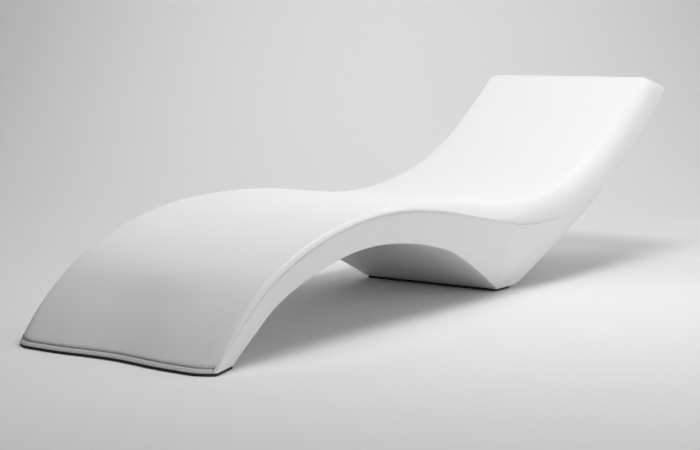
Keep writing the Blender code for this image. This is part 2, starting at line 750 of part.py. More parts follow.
def neck_cutter():
    """The hole and the flange's seat in the shell, from outside."""
    spot, outward = low_face(NECK_RIB)
    hole = NECK_TUBE_RADIUS + SEAT_GAP
    seat = NECK_FLANGE_RADIUS + SEAT_GAP
    floor = -NECK_FLANGE_THICKNESS - SEAT_GAP
    outline = [(0.0, -NECK_DEPTH), (hole, -NECK_DEPTH), (hole, floor), (seat, floor), (seat, OVERRUN), (0.0, OVERRUN)]
    cutter = turned("neck_hole", steady(outline), NECK_SIDES, WHITE_PLASTIC)
    cutter.matrix_world = facing(spot, outward)
    return cutter


def make_filler_neck():
    """A flanged tube with an inside thread and a groove for the seal in its face."""
    floor = -NECK_FLANGE_THICKNESS
    groove = SEAL_SECTION + SEAT_GAP
    heights = thread_heights(-NECK_DEPTH, -THREAD_PITCH / 2)

    def outline(angle):
        points = [(SEAL_RADIUS - groove, 0.0), (SEAL_RADIUS - groove, -SEAL_GROOVE_DEPTH),
                  (SEAL_RADIUS + groove, -SEAL_GROOVE_DEPTH), (SEAL_RADIUS + groove, 0.0),
                  (NECK_FLANGE_RADIUS, 0.0), (NECK_FLANGE_RADIUS, floor), (NECK_TUBE_RADIUS, floor),
                  (NECK_TUBE_RADIUS, -NECK_DEPTH)]
        for height in heights:
            ridge = (1 - thread_wave(angle, height)) * fade(height, heights[0], heights[-1])
            points.append((NECK_BORE_RADIUS - THREAD_DEPTH * ridge, height))
        points.append((NECK_BORE_RADIUS, 0.0))
        return points

    neck = turned("filler_neck", outline, NECK_SIDES, GREY_PLASTIC, ring=True)
    neck.matrix_world = facing(*low_face(NECK_RIB))
    return neck


def make_filler_plug():
    """A screw plug: threaded shank, wide head, and two finger pockets with a bar between them."""
    heights = thread_heights(PLUG_LIFT - PLUG_SHANK, -THREAD_PITCH / 4)
    narrow = THREAD_RADIUS - THREAD_DEPTH
    top = PLUG_LIFT + PLUG_HEAD_THICKNESS
    rim = PLUG_HEAD_THICKNESS / 4

    def outline(angle):
        points = [(0.0, heights[0])]
        for height in heights:
            ridge = thread_wave(angle, height) * fade(height, heights[0], heights[-1])
            points.append((narrow + THREAD_DEPTH * ridge, height))
        return points + [(narrow, PLUG_LIFT), (PLUG_HEAD_RADIUS, PLUG_LIFT), (PLUG_HEAD_RADIUS, top - rim),
                         (PLUG_HEAD_RADIUS - rim, top), (0.0, top)]

    plug = turned("filler_plug", outline, NECK_SIDES, GREY_PLASTIC)
    for sign in (-1, 1):
        pocket = grip_pocket(sign, top)
        combine(plug, pocket, "DIFFERENCE")
    finish(plug)
    plug.matrix_world = facing(*low_face(NECK_RIB))
    return plug


def grip_pocket(sign, top):
    """Half a disc beside the finger bar."""
    start = math.asin(GRIP_BAR / 2 / GRIP_RADIUS)
    steps = NECK_SIDES // 3 - 1
    outline = []
    for i in range(steps + 1):
        angle = start + (math.pi - 2 * start) * i / steps
        outline.append((GRIP_RADIUS * math.cos(angle), sign * GRIP_RADIUS * math.sin(angle)))
    return prism("pocket", outline, top - GRIP_DEPTH, top + OVERRUN, GREY_PLASTIC)


def make_plug_seal():
    """A round sealing ring in the neck's groove."""
    middle = SEAL_SECTION + SEAT_GAP - SEAL_GROOVE_DEPTH
    points = []
    steps = 8
    for i in range(steps):
        angle = 2 * math.pi * i / steps
        points.append((SEAL_RADIUS + SEAL_SECTION * math.cos(angle), middle + SEAL_SECTION * math.sin(angle)))
    seal = turned("plug_seal", steady(points), NECK_SIDES, BLACK_RUBBER, ring=True)
    seal.matrix_world = facing(*low_face(NECK_RIB))
    return seal


def make_vent_plug():
    """A push-in plug: a domed head outside and a barb inside the wall."""
    stem = VENT_HOLE_RADIUS - SEAT_GAP
    barb = -WALL - VENT_BARB_HEIGHT
    tip = barb - VENT_BARB_LENGTH
    outline = [(0.0, tip), (stem * 0.7, tip), (VENT_BARB_RADIUS, barb), (stem, barb), (stem, SEAT_GAP),
               (VENT_HEAD_RADIUS, SEAT_GAP), (VENT_HEAD_RADIUS, SEAT_GAP + VENT_HEAD_THICKNESS / 2),
               (VENT_HEAD_RADIUS * 0.7, SEAT_GAP + VENT_HEAD_THICKNESS), (0.0, SEAT_GAP + VENT_HEAD_THICKNESS)]
    plug = turned("vent_plug", steady(outline), SCREW_SIDES, GREY_PLASTIC)
    plug.matrix_world = facing(*low_face(VENT_RIB))
    return plug


def main():
    for old in list(bpy.data.objects):
        bpy.data.objects.remove(old)
    make_shell()
    make_toe_strip()
    make_shoe("front_shoe", front_outline(SHOE_INSET), front_tongue(0.0), front_screws())
    make_shoe("rear_shoe", rear_outline(SHOE_INSET), rear_outline(TONGUE_INSET), rear_screws())
    for foot, screws in (("front", front_screws()), ("rear", rear_screws())):
        for number, (x, y) in enumerate(screws, 1):
            make_insert(f"{foot}_insert_{number}", x, y)
            make_washer(f"{foot}_washer_{number}", x, y)
            make_screw(f"{foot}_screw_{number}", x, y)
    make_filler_neck()
    make_filler_plug()
    make_plug_seal()
    make_vent_plug()


main()
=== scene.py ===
"""Looks of a moulded sun lounger, laid out as an add-on.

One operator makes each group of pieces and one makes the stage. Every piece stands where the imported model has
it, in metres: the toe points to -X, the head end to +X, and the floor is at zero height.
"""
import json
import math

import bmesh
import bpy
from bpy.props import FloatProperty, FloatVectorProperty, PointerProperty
from mathutils import Matrix, Vector


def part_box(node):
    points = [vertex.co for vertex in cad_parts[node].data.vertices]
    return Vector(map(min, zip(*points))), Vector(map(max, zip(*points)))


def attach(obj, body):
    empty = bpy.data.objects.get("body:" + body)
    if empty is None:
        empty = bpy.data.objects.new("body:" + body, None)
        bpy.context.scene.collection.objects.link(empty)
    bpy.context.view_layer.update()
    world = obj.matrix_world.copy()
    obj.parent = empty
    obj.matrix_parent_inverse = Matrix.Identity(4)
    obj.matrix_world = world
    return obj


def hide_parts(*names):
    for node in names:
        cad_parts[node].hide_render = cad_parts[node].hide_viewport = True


bl_info = {
    "name": "Moulded Sun Lounger",
    "version": (1, 0, 0),
    "blender": (4, 5, 0),
    "location": "3D View > Sidebar > Lounger",
    "description": "Builds the visible pieces, the finishes and the stage of a moulded sun lounger",
    "category": "Object",
}

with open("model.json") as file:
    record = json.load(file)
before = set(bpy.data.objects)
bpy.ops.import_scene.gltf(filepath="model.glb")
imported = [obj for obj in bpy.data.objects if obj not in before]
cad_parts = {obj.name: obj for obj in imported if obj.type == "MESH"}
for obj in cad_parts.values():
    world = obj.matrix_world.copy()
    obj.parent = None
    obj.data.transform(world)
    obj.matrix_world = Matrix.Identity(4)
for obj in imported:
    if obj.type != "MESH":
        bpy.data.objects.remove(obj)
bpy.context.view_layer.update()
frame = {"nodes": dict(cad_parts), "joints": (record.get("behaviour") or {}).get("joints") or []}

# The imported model's gap round every seated piece, how far cutting tools run past what they cut, the distance
# within which points are welded, and the height of the moulding's own foot over the floor
SEAT_GAP = 0.0003
OVERRUN = 0.010
WELD = 0.000002
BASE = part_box("shell")[0].z

# Shell edges: the tight turn that ends the rolled edge, the edge under the side, and the head end. The
# hollow's own rolled edge and lower edge are rounder.
TURN_RADIUS = 0.011
TURN_MOST_SHARE = 0.8
TURN_FIRST_LEAN = math.radians(60)
TURN_ROUNDS = 20
LOWER_RADIUS = 0.006
HOLLOW_ROLL = 0.020
HOLLOW_LOWER_RADIUS = 0.010
HEAD_RADIUS = 0.0054
HEAD_CORNER_RADIUS = 0.020
FOOT_WALL = 0.010
LEAST_MITRE = 0.3
LEAST_WALL_SINE = 0.7

# Fine groove under the rolled edge: how far it reaches down the side, that reach's greatest share of the
# side, then its depth and place as shares of its reach
GROOVE_REACH = 0.0080
GROOVE_SIDE_SHARE = 0.12
GROOVE_SHARES = ((0.02, 0.16), (0.12, 0.27), (0.30, 0.33), (0.46, 0.39), (0.52, 0.46),
                 (0.46, 0.54), (0.32, 0.64), (0.16, 0.76), (0.05, 0.88), (0.00, 1.00))

# The toe's middle is set back in a shallow wave
WAVE_DEPTH = 0.016
WAVE_REACH = 0.200

# Toe strip and its channel
CHANNEL_HEIGHT = 0.019
CHANNEL_DEPTH = 0.008
CHANNEL_EDGE_RADIUS = 0.0035
CHANNEL_EDGE_STEPS = 4
CHANNEL_END_SETBACK = 0.007
STRIP_TOP_GAP = 0.005
STRIP_END_GAP = 0.002
STRIP_EDGE_RADIUS = 0.006
STRIP_FOOT_TUCK = 0.0020
STRIP_END_SETBACK_SHARE = 0.6
STRIP_END_RADIUS_SHARE = 0.5

# Rubber shoes
SHOE_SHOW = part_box("shell")[0].z - SEAT_GAP
SHOE_INSET = 0.0015
SHOE_EDGE = 0.0012
TONGUE_INSET = 0.015
TONGUE_SETBACK = 0.032
TONGUE_HEIGHT = 0.002
SHOE_CORNER_RADIUS = 0.010
TREAD_WIDTH = 0.004
TREAD_PITCH = 0.014
TREAD_DEPTH = 0.0012
TREAD_END_GAP = 3 * SHOE_CORNER_RADIUS

# Shoe screws, washers and their holes
SCREW_RADIUS = 0.0030
SCREW_LENGTH = 0.0165
SCREW_HEAD_RADIUS = 0.0050
SCREW_HEAD_HEIGHT = 0.0022
SCREW_FACE_SHARE = 0.72
SCREW_EDGE_SHARE = 0.7
SCREW_PITCH = SCREW_RADIUS / 3
SCREW_THREAD_DEPTH = SCREW_PITCH * 0.5
SCREW_THREAD_START_SHARE = 0.15
SCREW_THREAD_SHARE = 0.8
SOCKET_RADIUS = 0.0023
SOCKET_DEPTH = 0.0012
WASHER_RADIUS = 0.0070
WASHER_THICKNESS = 0.0010
COUNTERBORE_RADIUS = 0.0080
COUNTERBORE_DEPTH = 0.0044
INSERT_RADIUS = 0.0055
INSERT_LENGTH = 0.0120
BOSS_RADIUS = 0.0110
BOSS_CAP = 0.0075

# Ballast filler
NECK_TUBE_RADIUS = 0.027
NECK_BORE_RADIUS = 0.022
NECK_FLANGE_RADIUS = 0.036
NECK_FLANGE_THICKNESS = 0.004
NECK_DEPTH = 0.024
NECK_BOSS_RADIUS = 0.044
THREAD_RADIUS = 0.0215
THREAD_DEPTH = 0.0012
THREAD_PITCH = 0.006
PLUG_SHANK = 0.0165
PLUG_HEAD_RADIUS = 0.031
PLUG_HEAD_THICKNESS = 0.008
PLUG_LIFT = 0.0006
PLUG_EDGE = 0.0020
GRIP_BAR = 0.008
GRIP_RADIUS = 0.024
GRIP_DEPTH = 0.005
SEAL_RADIUS = 0.0266
SEAL_SECTION = 0.0012
SEAL_GROOVE_DEPTH = 0.0024

# Vent plug
VENT_HOLE_RADIUS = 0.0050
VENT_HEAD_RADIUS = 0.0085
VENT_HEAD_THICKNESS = 0.0018
VENT_BARB_RADIUS = 0.0057
VENT_BARB_HEIGHT = 0.0025
VENT_BARB_LENGTH = 0.0040
VENT_TIP_SHARE = 0.7

# Ribs of the moulding from toe to head, as shares of its length and height: the top line, the crease and the
# lower edge in the side view, then the half-width at the lower edge and the rolled edge's width as shares of
# half the width
RIB_SHARES = (
    (0.0000, 0.0000, 0.0137, 0.0000, 0.0485, 0.0000, 0.923, 0.190),
    (0.0540, 0.1939, 0.0578, 0.1801, 0.0816, 0.0919, 0.917, 0.034),
    (0.0903, 0.2962, 0.0931, 0.2807, 0.1120, 0.1733, 0.914, 0.030),
    (0.1343, 0.3792, 0.1360, 0.3606, 0.1516, 0.2404, 0.911, 0.029),
    (0.1825, 0.4411, 0.1835, 0.4223, 0.1940, 0.2891, 0.906, 0.029),
    (0.2387, 0.4854, 0.2391, 0.4660, 0.2445, 0.3299, 0.902, 0.031),
    (0.2951, 0.5059, 0.2951, 0.4840, 0.2971, 0.3427, 0.895, 0.040),
    (0.3517, 0.5105, 0.3513, 0.4776, 0.3496, 0.3283, 0.889, 0.062),
    (0.4082, 0.5002, 0.4070, 0.4521, 0.4022, 0.2947, 0.877, 0.088),
    (0.4648, 0.4752, 0.4632, 0.4113, 0.4588, 0.2348, 0.855, 0.100),
    (0.5174, 0.4497, 0.5174, 0.3690, 0.5214, 0.1222, 0.809, 0.110),
    (0.5618, 0.4377, 0.5639, 0.3419, 0.5812, 0.0000, 0.754, 0.118),
    (0.5901, 0.4377, 0.5942, 0.3299, 0.6183, 0.0000, 0.757, 0.125),
    (0.6265, 0.4465, 0.6354, 0.3243, 0.6528, 0.0495, 0.775, 0.135),
    (0.6710, 0.4744, 0.6859, 0.3331, 0.7053, 0.1494, 0.806, 0.145),
    (0.7195, 0.5200, 0.7397, 0.3698, 0.7599, 0.2540, 0.831, 0.150),
    (0.7720, 0.5950, 0.7983, 0.4521, 0.8165, 0.3610, 0.843, 0.150),
    (0.8246, 0.6981, 0.8577, 0.5703, 0.8711, 0.4776, 0.846, 0.140),
    (0.8812, 0.8355, 0.9184, 0.7196, 0.9297, 0.6518, 0.846, 0.110),
    (0.9437, 0.9925, 0.9919, 0.9430, 0.9992, 0.9365, 0.846, 0.065),
)

# Rib numbers: the heel, the vent, the hollow, the end of the toe's wave, the even round up the back, and the
# groove's soft ends and its fainter stretch
HEEL_FRONT_RIB = 11
HEEL_BACK_RIB = 12
VENT_RIB = 6.2
CAVITY_START_RIB = 0.2
CAVITY_END_RIB = 18.93
WAVE_END_RIB = 2
ROUND_START_RIB = 9
ROUND_END_RIB = 13
ROUND_FULLNESS = 2.4
GROOVE_START_RIBS = 0.6
GROOVE_END_RIBS = 0.8
GROOVE_FAINT_RIB = 10.0
GROOVE_FAINT_RIBS = 2.5
GROOVE_FAINT_SHARE = 0.6
SMALL_RIB_STEP = 0.01

# Counts of facets
RINGS_PER_RIB = 12
CAVITY_RINGS_PER_RIB = 3
CROWN_STEPS = 12
TURN_STEPS = 8
EDGE_STEPS = 5
FLAT_STEPS = 24
HEAD_STEPS = 6
HEAD_CORNER_STEPS = 8
HEAD_CORNER_MARGIN = 1.2
CHANNEL_STEPS = 24
STRIP_STEPS = 40
STRIP_END_STEPS = 8
STRIP_EDGE_STEPS = 8
STRIP_FOOT_STEPS = 4
SHOE_EDGE_STEPS = 4
TREAD_END_STEPS = 8
FILLET_STEPS = 10
BUTTON_STEPS = 8
FINE_SIDES = 96
SCREW_SIDES = 48
THREAD_SAMPLES = 16
SCREW_THREAD_SAMPLES = 4
SEAL_SIDES = 24

SMOOTH_ANGLE = math.radians(35)


# Sizes, colours and stage values that a user may change

def length_setting(label, note, start, least, most):
    """A length in metres."""
    return FloatProperty(name=label, description=note, default=start, min=least, max=most, unit="LENGTH")


def share_setting(label, note, start):
    """A share from 0 to 1."""
    return FloatProperty(name=label, description=note, default=start, min=0.0, max=1.0, subtype="FACTOR")


def colour_setting(label, note, start):
    """A colour in linear light."""
    return FloatVectorProperty(
        name=label, description=note, default=start, min=0.0, max=1.0, size=3, subtype="COLOR")


def power_setting(label, note, start):
    """A lamp's power in watts."""
    return FloatProperty(name=label, description=note, default=start, min=0.0, max=1000.0, unit="POWER")


class LoungerShape(bpy.types.PropertyGroup):
    """Sizes of the moulding."""
    length: length_setting("Length", "Length of the moulding from the toe to the head end", 2.474, 1.5, 3.5)
    width: length_setting("Width", "Width of the moulding across its creases", 0.650, 0.4, 1.2)
    height: length_setting("Height", "Height of the head end over the floor", 0.632, 0.3, 1.2)
    wall: length_setting("Wall", "Thickness of the hollow moulding's wall", 0.006, 0.003, 0.012)
    crease_reach: length_setting(
        "Crease softness", "How far the crease's rounding reaches to either side", 0.0035, 0.0005, 0.010)


class LoungerFinish(bpy.types.PropertyGroup):
    """Colours and textures of the finishes."""
    shell_colour: colour_setting("Shell", "Colour of the white moulding", (0.82, 0.82, 0.82))
    shell_roughness: share_setting("Shell roughness", "Roughness of the moulding's satin skin", 0.42)
    skin_depth: length_setting("Skin texture", "Depth of the moulding's fine texture", 0.00005, 0.0, 0.001)
    strip_colour: colour_setting("Strip", "Colour of the toe strip", (0.66, 0.66, 0.66))
    rubber_colour: colour_setting("Rubber", "Colour of the shoes and the seal", (0.020, 0.020, 0.020))
    fitting_colour: colour_setting("Fittings", "Colour of the filler and the vent plug", (0.42, 0.42, 0.42))
    steel_colour: colour_setting("Steel", "Colour of the screws and washers", (0.62, 0.62, 0.60))
    brass_colour: colour_setting("Brass", "Colour of the threaded inserts", (0.60, 0.45, 0.20))


class LoungerStage(bpy.types.PropertyGroup):
    """The camera, the lamps, the even light and the sweep."""
    camera_place: FloatVectorProperty(
        name="Camera place", description="Where the camera stands", subtype="XYZ", size=3, unit="LENGTH",
        default=(-3.8924, -2.6128, 0.7751))
    camera_aim: FloatVectorProperty(
        name="Camera aim", description="Direction that the camera looks in", subtype="DIRECTION", size=3,
        default=(0.8083, 0.5763, -0.1203))
    camera_lens: FloatProperty(
        name="Lens", description="Focal length in millimetres on a 36 mm sensor",
        default=80.63, min=10.0, max=300.0)
    key_power: power_setting("Key light", "Power of the small soft box over the near side", 28.6)
    toe_power: power_setting("Toe light", "Power of the soft box over the toe", 23.4)
    side_power: power_setting("Side light", "Power of the soft box on the near side", 21.8)
    low_power: power_setting("Low light", "Power of the low soft box before the foot end", 13.4)
    high_power: power_setting("High head light", "Power of the high soft box beyond the head end", 16.0)
    head_power: power_setting("Low head light", "Power of the low soft box beyond the head end", 22.5)
    wall_power: power_setting("Backdrop light", "Power of the soft box that lights the backdrop", 41.7)
    far_power: power_setting("Far light", "Power of the soft box over the far side", 12.7)
    air_strength: FloatProperty(
        name="Air", description="Strength of the even light from all round", default=0.05, min=0.0, max=2.0)
    floor_shade: share_setting("Floor shade", "Shade of the floor and the backdrop", 0.78)


# Shader maths as expressions

class Signal:
    """A value in a shader that takes part in sums. Each operation on it adds a Math node."""

    def __init__(self, finish, socket):
        self.finish = finish
        self.socket = socket

    def __add__(self, other):
        return self.finish.maths("ADD", self, other)

    def __radd__(self, other):
        return self.finish.maths("ADD", other, self)

    def __sub__(self, other):
        return self.finish.maths("SUBTRACT", self, other)

    def __rsub__(self, other):
        return self.finish.maths("SUBTRACT", other, self)

    def __mul__(self, other):
        return self.finish.maths("MULTIPLY", self, other)

    def __rmul__(self, other):
        return self.finish.maths("MULTIPLY", other, self)


class Finish:
    """One material: a Principled shader and the nodes that vary it."""

    def __init__(self, name, colour, roughness, metallic=0.0):
        self.material = bpy.data.materials.new(name)
        self.material.use_nodes = True
        self.tree = self.material.node_tree
        self.shader = self.tree.nodes["Principled BSDF"]
        self.shader.inputs["Base Color"].default_value = (*colour, 1.0)
        self.shader.inputs["Roughness"].default_value = roughness
        self.shader.inputs["Metallic"].default_value = metallic
        self.colour = (*colour, 1.0)
        self.place = self.node("ShaderNodeTexCoord", output="Object")

    def node(self, kind, settings=None, values=None, output=0):
        """Add a node, set it, then give its sockets values or links. The output asked for comes back."""
        made = self.tree.nodes.new(kind)
        for name, value in (settings or {}).items():
            setattr(made, name, value)
        for name, value in (values or {}).items():
            self.feed(made.inputs[name], value)
        return Signal(self, made.outputs[output])

    def feed(self, socket, value):
        if isinstance(value, Signal):
            self.tree.links.new(value.socket, socket)
        else:
            socket.default_value = value

    def maths(self, operation, *values):
        return self.node("ShaderNodeMath", {"operation": operation}, dict(enumerate(values)))

    def limited(self, value, low, high):
        """A value carried from between two levels to the range from 0 to 1, and kept there."""
        return self.node("ShaderNodeMapRange", {"interpolation_type": "SMOOTHSTEP"},
                         {"Value": value, "From Min": low, "From Max": high})

    def noise(self, scale, detail=2.0, roughness=0.5, stretch=(1.0, 1.0, 1.0)):
        place = self.node("ShaderNodeMapping", values={"Vector": self.place, "Scale": stretch})
        return self.node("ShaderNodeTexNoise",
                         values={"Vector": place, "Scale": scale, "Detail": detail, "Roughness": roughness})

    def height(self):
        """Height over the floor."""
        return self.node("ShaderNodeSeparateXYZ", values={"Vector": self.place}, output="Z")

    def tint(self, share, other, colour=None):
        """The finish's colour, or one already mixed, carried towards another by a share."""
        first = self.colour if colour is None else colour
        second = (*other, 1.0)
        made = self.tree.nodes.new("ShaderNodeMix")
        made.data_type = "RGBA"
        self.feed(made.inputs["Factor"], share)
        self.feed(made.inputs[6], first)
        self.feed(made.inputs[7], second)
        return Signal(self, made.outputs[2])

    def clear_from_behind(self):
        """Let the surface be seen through from its back, so that it hides nothing that stands before it."""
        behind = self.node("ShaderNodeNewGeometry", output="Backfacing")
        clear = self.node("ShaderNodeBsdfTransparent")
        both = self.node("ShaderNodeMixShader", values={"Fac": behind})
        self.tree.links.new(self.shader.outputs["BSDF"], both.socket.node.inputs[1])
        self.tree.links.new(clear.socket, both.socket.node.inputs[2])
        self.tree.links.new(both.socket, self.tree.nodes["Material Output"].inputs["Surface"])

    def bump(self, height, depth, under=None):
        values = {"Height": height, "Distance": depth, "Strength": 1.0}
        if under is not None:
            values["Normal"] = under
        return self.node("ShaderNodeBump", values=values)

    def wear(self, colour=None, roughness=None, normal=None):
        """Link what varies over the surface to the shader."""
        for name, value in (("Base Color", colour), ("Roughness", roughness), ("Normal", normal)):
            if value is not None:
                self.feed(self.shader.inputs[name], value)
        return self.material


def shade(colour, factor):
    return tuple(min(1.0, part * factor) for part in colour)


def white_shell(look):
    """Satin moulded plastic: fine pebbled skin, slow waves, faint mottle, and darker, rougher blotches near the
    floor.
    """
    finish = Finish("white moulded skin", look.shell_colour, look.shell_roughness)
    mottle = finish.noise(7.0, 3.0)
    cloud = finish.noise(1.3, 2.0)
    pores = finish.noise(620.0, 2.0, 0.6)
    pebble = finish.noise(210.0, 1.0)
    waves = finish.noise(5.0, 1.0)
    # Blotches that darken the skin and make it rougher, fading out from 10 mm to 50 mm over the floor
    blotch_mask = finish.limited(finish.noise(38.0, 5.0, 0.7), 0.52, 0.72)
    low = 1.0 - finish.limited(finish.height(), 0.010, 0.050)
    low_blotches = blotch_mask * low
    tone = finish.tint(finish.limited(mottle, 0.35, 0.65) * 0.35, shade(look.shell_colour, 0.975))
    tone = finish.tint(finish.limited(cloud, 0.4, 0.6) * 0.3, shade(look.shell_colour, 1.015), tone)
    tone = finish.tint(low_blotches * 0.30, shade(look.shell_colour, 0.55), tone)
    rough = look.shell_roughness - 0.03 + mottle * 0.06 + pores * 0.04 + low_blotches * 0.15
    skin = finish.bump(pores * 0.5 + pebble, look.skin_depth)
    skin = finish.bump(waves, look.skin_depth * 6.0, skin)
    return finish.wear(tone, rough, skin)


def pale_strip(look):
    """Extruded plastic: drawn lengthwise, so its streaks run across the toe."""
    finish = Finish("pale drawn strip", look.strip_colour, 0.40)
    streaks = finish.noise(160.0, 3.0, 0.6, stretch=(1.0, 0.03, 1.0))
    speck = finish.noise(300.0, 2.0)
    scuff = finish.limited(finish.noise(45.0, 4.0, 0.7, stretch=(1.0, 0.4, 1.0)), 0.58, 0.75)
    tone = finish.tint(streaks * 0.25, shade(look.strip_colour, 0.90))
    tone = finish.tint(scuff * 0.25, shade(look.strip_colour, 0.60), tone)
    rough = 0.36 + streaks * 0.10 + scuff * 0.15
    return finish.wear(tone, rough, finish.bump(streaks + speck * 0.3, 0.00004))


def black_rubber(look):
    """Moulded rubber: fine grain, with dust on it in places."""
    finish = Finish("dull black rubber", look.rubber_colour, 0.75)
    grain = finish.noise(900.0, 2.0, 0.7)
    dust = finish.limited(finish.noise(60.0, 5.0, 0.7), 0.55, 0.80)
    tone = finish.tint(dust * 0.20, (0.16, 0.155, 0.15))
    rough = 0.68 + grain * 0.10 + dust * 0.12
    return finish.wear(tone, rough, finish.bump(grain, 0.00006))


def grey_fitting(look):
    """Injection-moulded plastic with an eroded satin texture and a little bloom."""
    finish = Finish("grey moulded fitting", look.fitting_colour, 0.50)
    erosion = finish.noise(1400.0, 2.0, 0.7)
    bloom = finish.noise(55.0, 3.0)
    tone = finish.tint(finish.limited(bloom, 0.4, 0.7) * 0.3, shade(look.fitting_colour, 1.12))
    tone = finish.tint(erosion * 0.25, shade(look.fitting_colour, 0.86), tone)
    rough = 0.44 + bloom * 0.10
    return finish.wear(tone, rough, finish.bump(erosion, 0.00003))


def turned_steel(look):
    """Bright steel with fine turning marks and slight stains."""
    finish = Finish("turned screw steel", look.steel_colour, 0.30, 1.0)
    marks = finish.noise(1500.0, 2.0, 0.6, stretch=(1.0, 1.0, 0.15))
    stain = finish.limited(finish.noise(220.0, 4.0, 0.6), 0.50, 0.80)
    tone = finish.tint(stain * 0.35, shade(look.steel_colour, 0.70))
    rough = 0.24 + marks * 0.10 + stain * 0.15
    return finish.wear(tone, rough, finish.bump(marks, 0.00001))


def turned_brass(look):
    """Turned brass, tarnished in patches."""
    finish = Finish("turned insert brass", look.brass_colour, 0.35, 1.0)
    marks = finish.noise(1300.0, 2.0, 0.6, stretch=(0.2, 0.2, 1.0))
    tarnish = finish.limited(finish.noise(180.0, 4.0, 0.6), 0.45, 0.75)
    tone = finish.tint(tarnish * 0.45, shade(look.brass_colour, 0.62))
    rough = 0.28 + marks * 0.10 + tarnish * 0.18
    return finish.wear(tone, rough, finish.bump(marks, 0.00001))


FINISHES = {
    "white_shell": white_shell,
    "pale_strip": pale_strip,
    "black_rubber": black_rubber,
    "grey_fitting": grey_fitting,
    "screw_steel": turned_steel,
    "insert_brass": turned_brass,
}
FINISH_NAMES = {}


def finish_for(slot):
    """The material of one of the record's slots, made once."""
    made = bpy.data.materials.get(FINISH_NAMES.get(slot, ""))
    if made is None:
        made = FINISHES[slot](bpy.context.scene.lounger_finish)
        FINISH_NAMES[slot] = made.name
    return made


# Mesh helpers

def object_from(name, bm, slot="white_shell"):
    bmesh.ops.recalc_face_normals(bm, faces=bm.faces[:])
    mesh = bpy.data.meshes.new(name)
    bm.to_mesh(mesh)
    bm.free()
    mesh.materials.append(finish_for(slot))
    made = bpy.data.objects.new(name, mesh)
    bpy.context.scene.collection.objects.link(made)
    smooth(made)
    return made


def smooth(made):
    made.data.shade_smooth()
    made.data.set_sharp_from_angle(angle=SMOOTH_ANGLE)


def combine(target, tool, operation):
    """Cut, add or keep the shared part of a tool, and take the tool away."""
    boolean = target.modifiers.new("cut", "BOOLEAN")
    boolean.operation = operation
    boolean.solver = "EXACT"
    boolean.object = tool
    bpy.context.view_layer.update()
    done = target.evaluated_get(bpy.context.evaluated_depsgraph_get())
    mesh = bpy.data.meshes.new_from_object(done)
    old = target.data
    target.modifiers.remove(boolean)
    target.data = mesh
    mesh.name = target.name
    bm = bmesh.new()
    bm.from_mesh(mesh)
    bmesh.ops.remove_doubles(bm, verts=bm.verts[:], dist=WELD)
    bmesh.ops.dissolve_degenerate(bm, edges=bm.edges[:], dist=WELD)
    bm.to_mesh(mesh)
    bm.free()
    bpy.data.meshes.remove(old)
    spare = tool.data
    bpy.data.objects.remove(tool)
    bpy.data.meshes.remove(spare)


def loft(loops):
    """Join rings of equal count into a closed skin with flat ends."""
    bm = bmesh.new()
    rings = [[bm.verts.new(point) for point in ring] for ring in loops]
    count = len(rings[0])
    for first, second in zip(rings, rings[1:]):
        for i in range(count):
            j = (i + 1) % count
            bm.faces.new((first[i], first[j], second[j], second[i]))
    bm.faces.new(list(reversed(rings[0])))
    bm.faces.new(rings[-1])
    return bm


def prism(name, outline, low, high, slot="white_shell"):
    rings = [[(x, y, height) for x, y in outline] for height in (low, high)]
    return object_from(name, loft(rings), slot)


def box(name, low, high):
    outline = [(low[0], low[1]), (high[0], low[1]), (high[0], high[1]), (low[0], high[1])]
    return prism(name, outline, low[2], high[2])


def turned(name, outline, sides, slot="white_shell", ring=False):
    """Turn an outline round +Z. The outline is a function of the angle and gives radius and height pairs.
    A ring's outline closes on itself. Any other starts and ends on the axis."""
    bm = bmesh.new()
    ends = outline(0.0)
    foot = None if ring else bm.verts.new((0.0, 0.0, ends[0][1]))
    head = None if ring else bm.verts.new((0.0, 0.0, ends[-1][1]))
    columns = []
    for side in range(sides):
        angle = 2 * math.pi * side / sides
        points = outline(angle)
        inner = points if ring else points[1:-1]
        columns.append([bm.verts.new((r * math.cos(angle), r * math.sin(angle), z)) for r, z in inner])
    for side in range(sides):
        here = columns[side]
        beside = columns[(side + 1) % sides]
        for i in range(len(here) - 1):
            bm.faces.new((here[i], beside[i], beside[i + 1], here[i + 1]))
        if ring:
            bm.faces.new((here[-1], beside[-1], beside[0], here[0]))
        else:
            bm.faces.new((foot, beside[0], here[0]))
            bm.faces.new((head, here[-1], beside[-1]))
    return object_from(name, bm, slot)


def steady(points):
    """An outline that is the same at every angle."""
    return lambda angle: points


def rod(radius, low, high):
    return [(0.0, low), (radius, low), (radius, high), (0.0, high)]


def arc(middle, radius, start, end, steps=5):
    """Points on an arc in an outline's radius and height, angles in degrees."""
    points = []
    for i in range(steps + 1):
        angle = math.radians(start + (end - start) * i / steps)
        points.append((middle[0] + radius * math.cos(angle), middle[1] + radius * math.sin(angle)))
    return points


def quarter(steps):
    """The angles of a quarter turn, both ends included."""
    return [math.pi / 2 * i / steps for i in range(steps + 1)]


def hexagon(radius, angle):
    """Radius of a hexagon with corners at that radius."""
    part = math.radians(60)
    return radius * math.cos(part / 2) / math.cos(angle % part - part / 2)


def facing(spot, outward):
    """A placement whose +Z is the given direction."""
    across = Vector((0.0, 1.0, 0.0))
    along = across.cross(outward)
    turn = Matrix((along, across, outward)).transposed().to_4x4()
    return Matrix.Translation(spot) @ turn


def drawn_in(loop, inset, normal):
    """A flat loop moved inward by an even inset."""
    moved = []
    count = len(loop)
    for i, point in enumerate(loop):
        before = (point - loop[i - 1]).normalized()
        after = (loop[(i + 1) % count] - point).normalized()
        first = normal.cross(before)
        second = normal.cross(after)
        mean = (first + second).normalized()
        moved.append(point - mean * inset / max(mean.dot(first), LEAST_MITRE))
    return moved


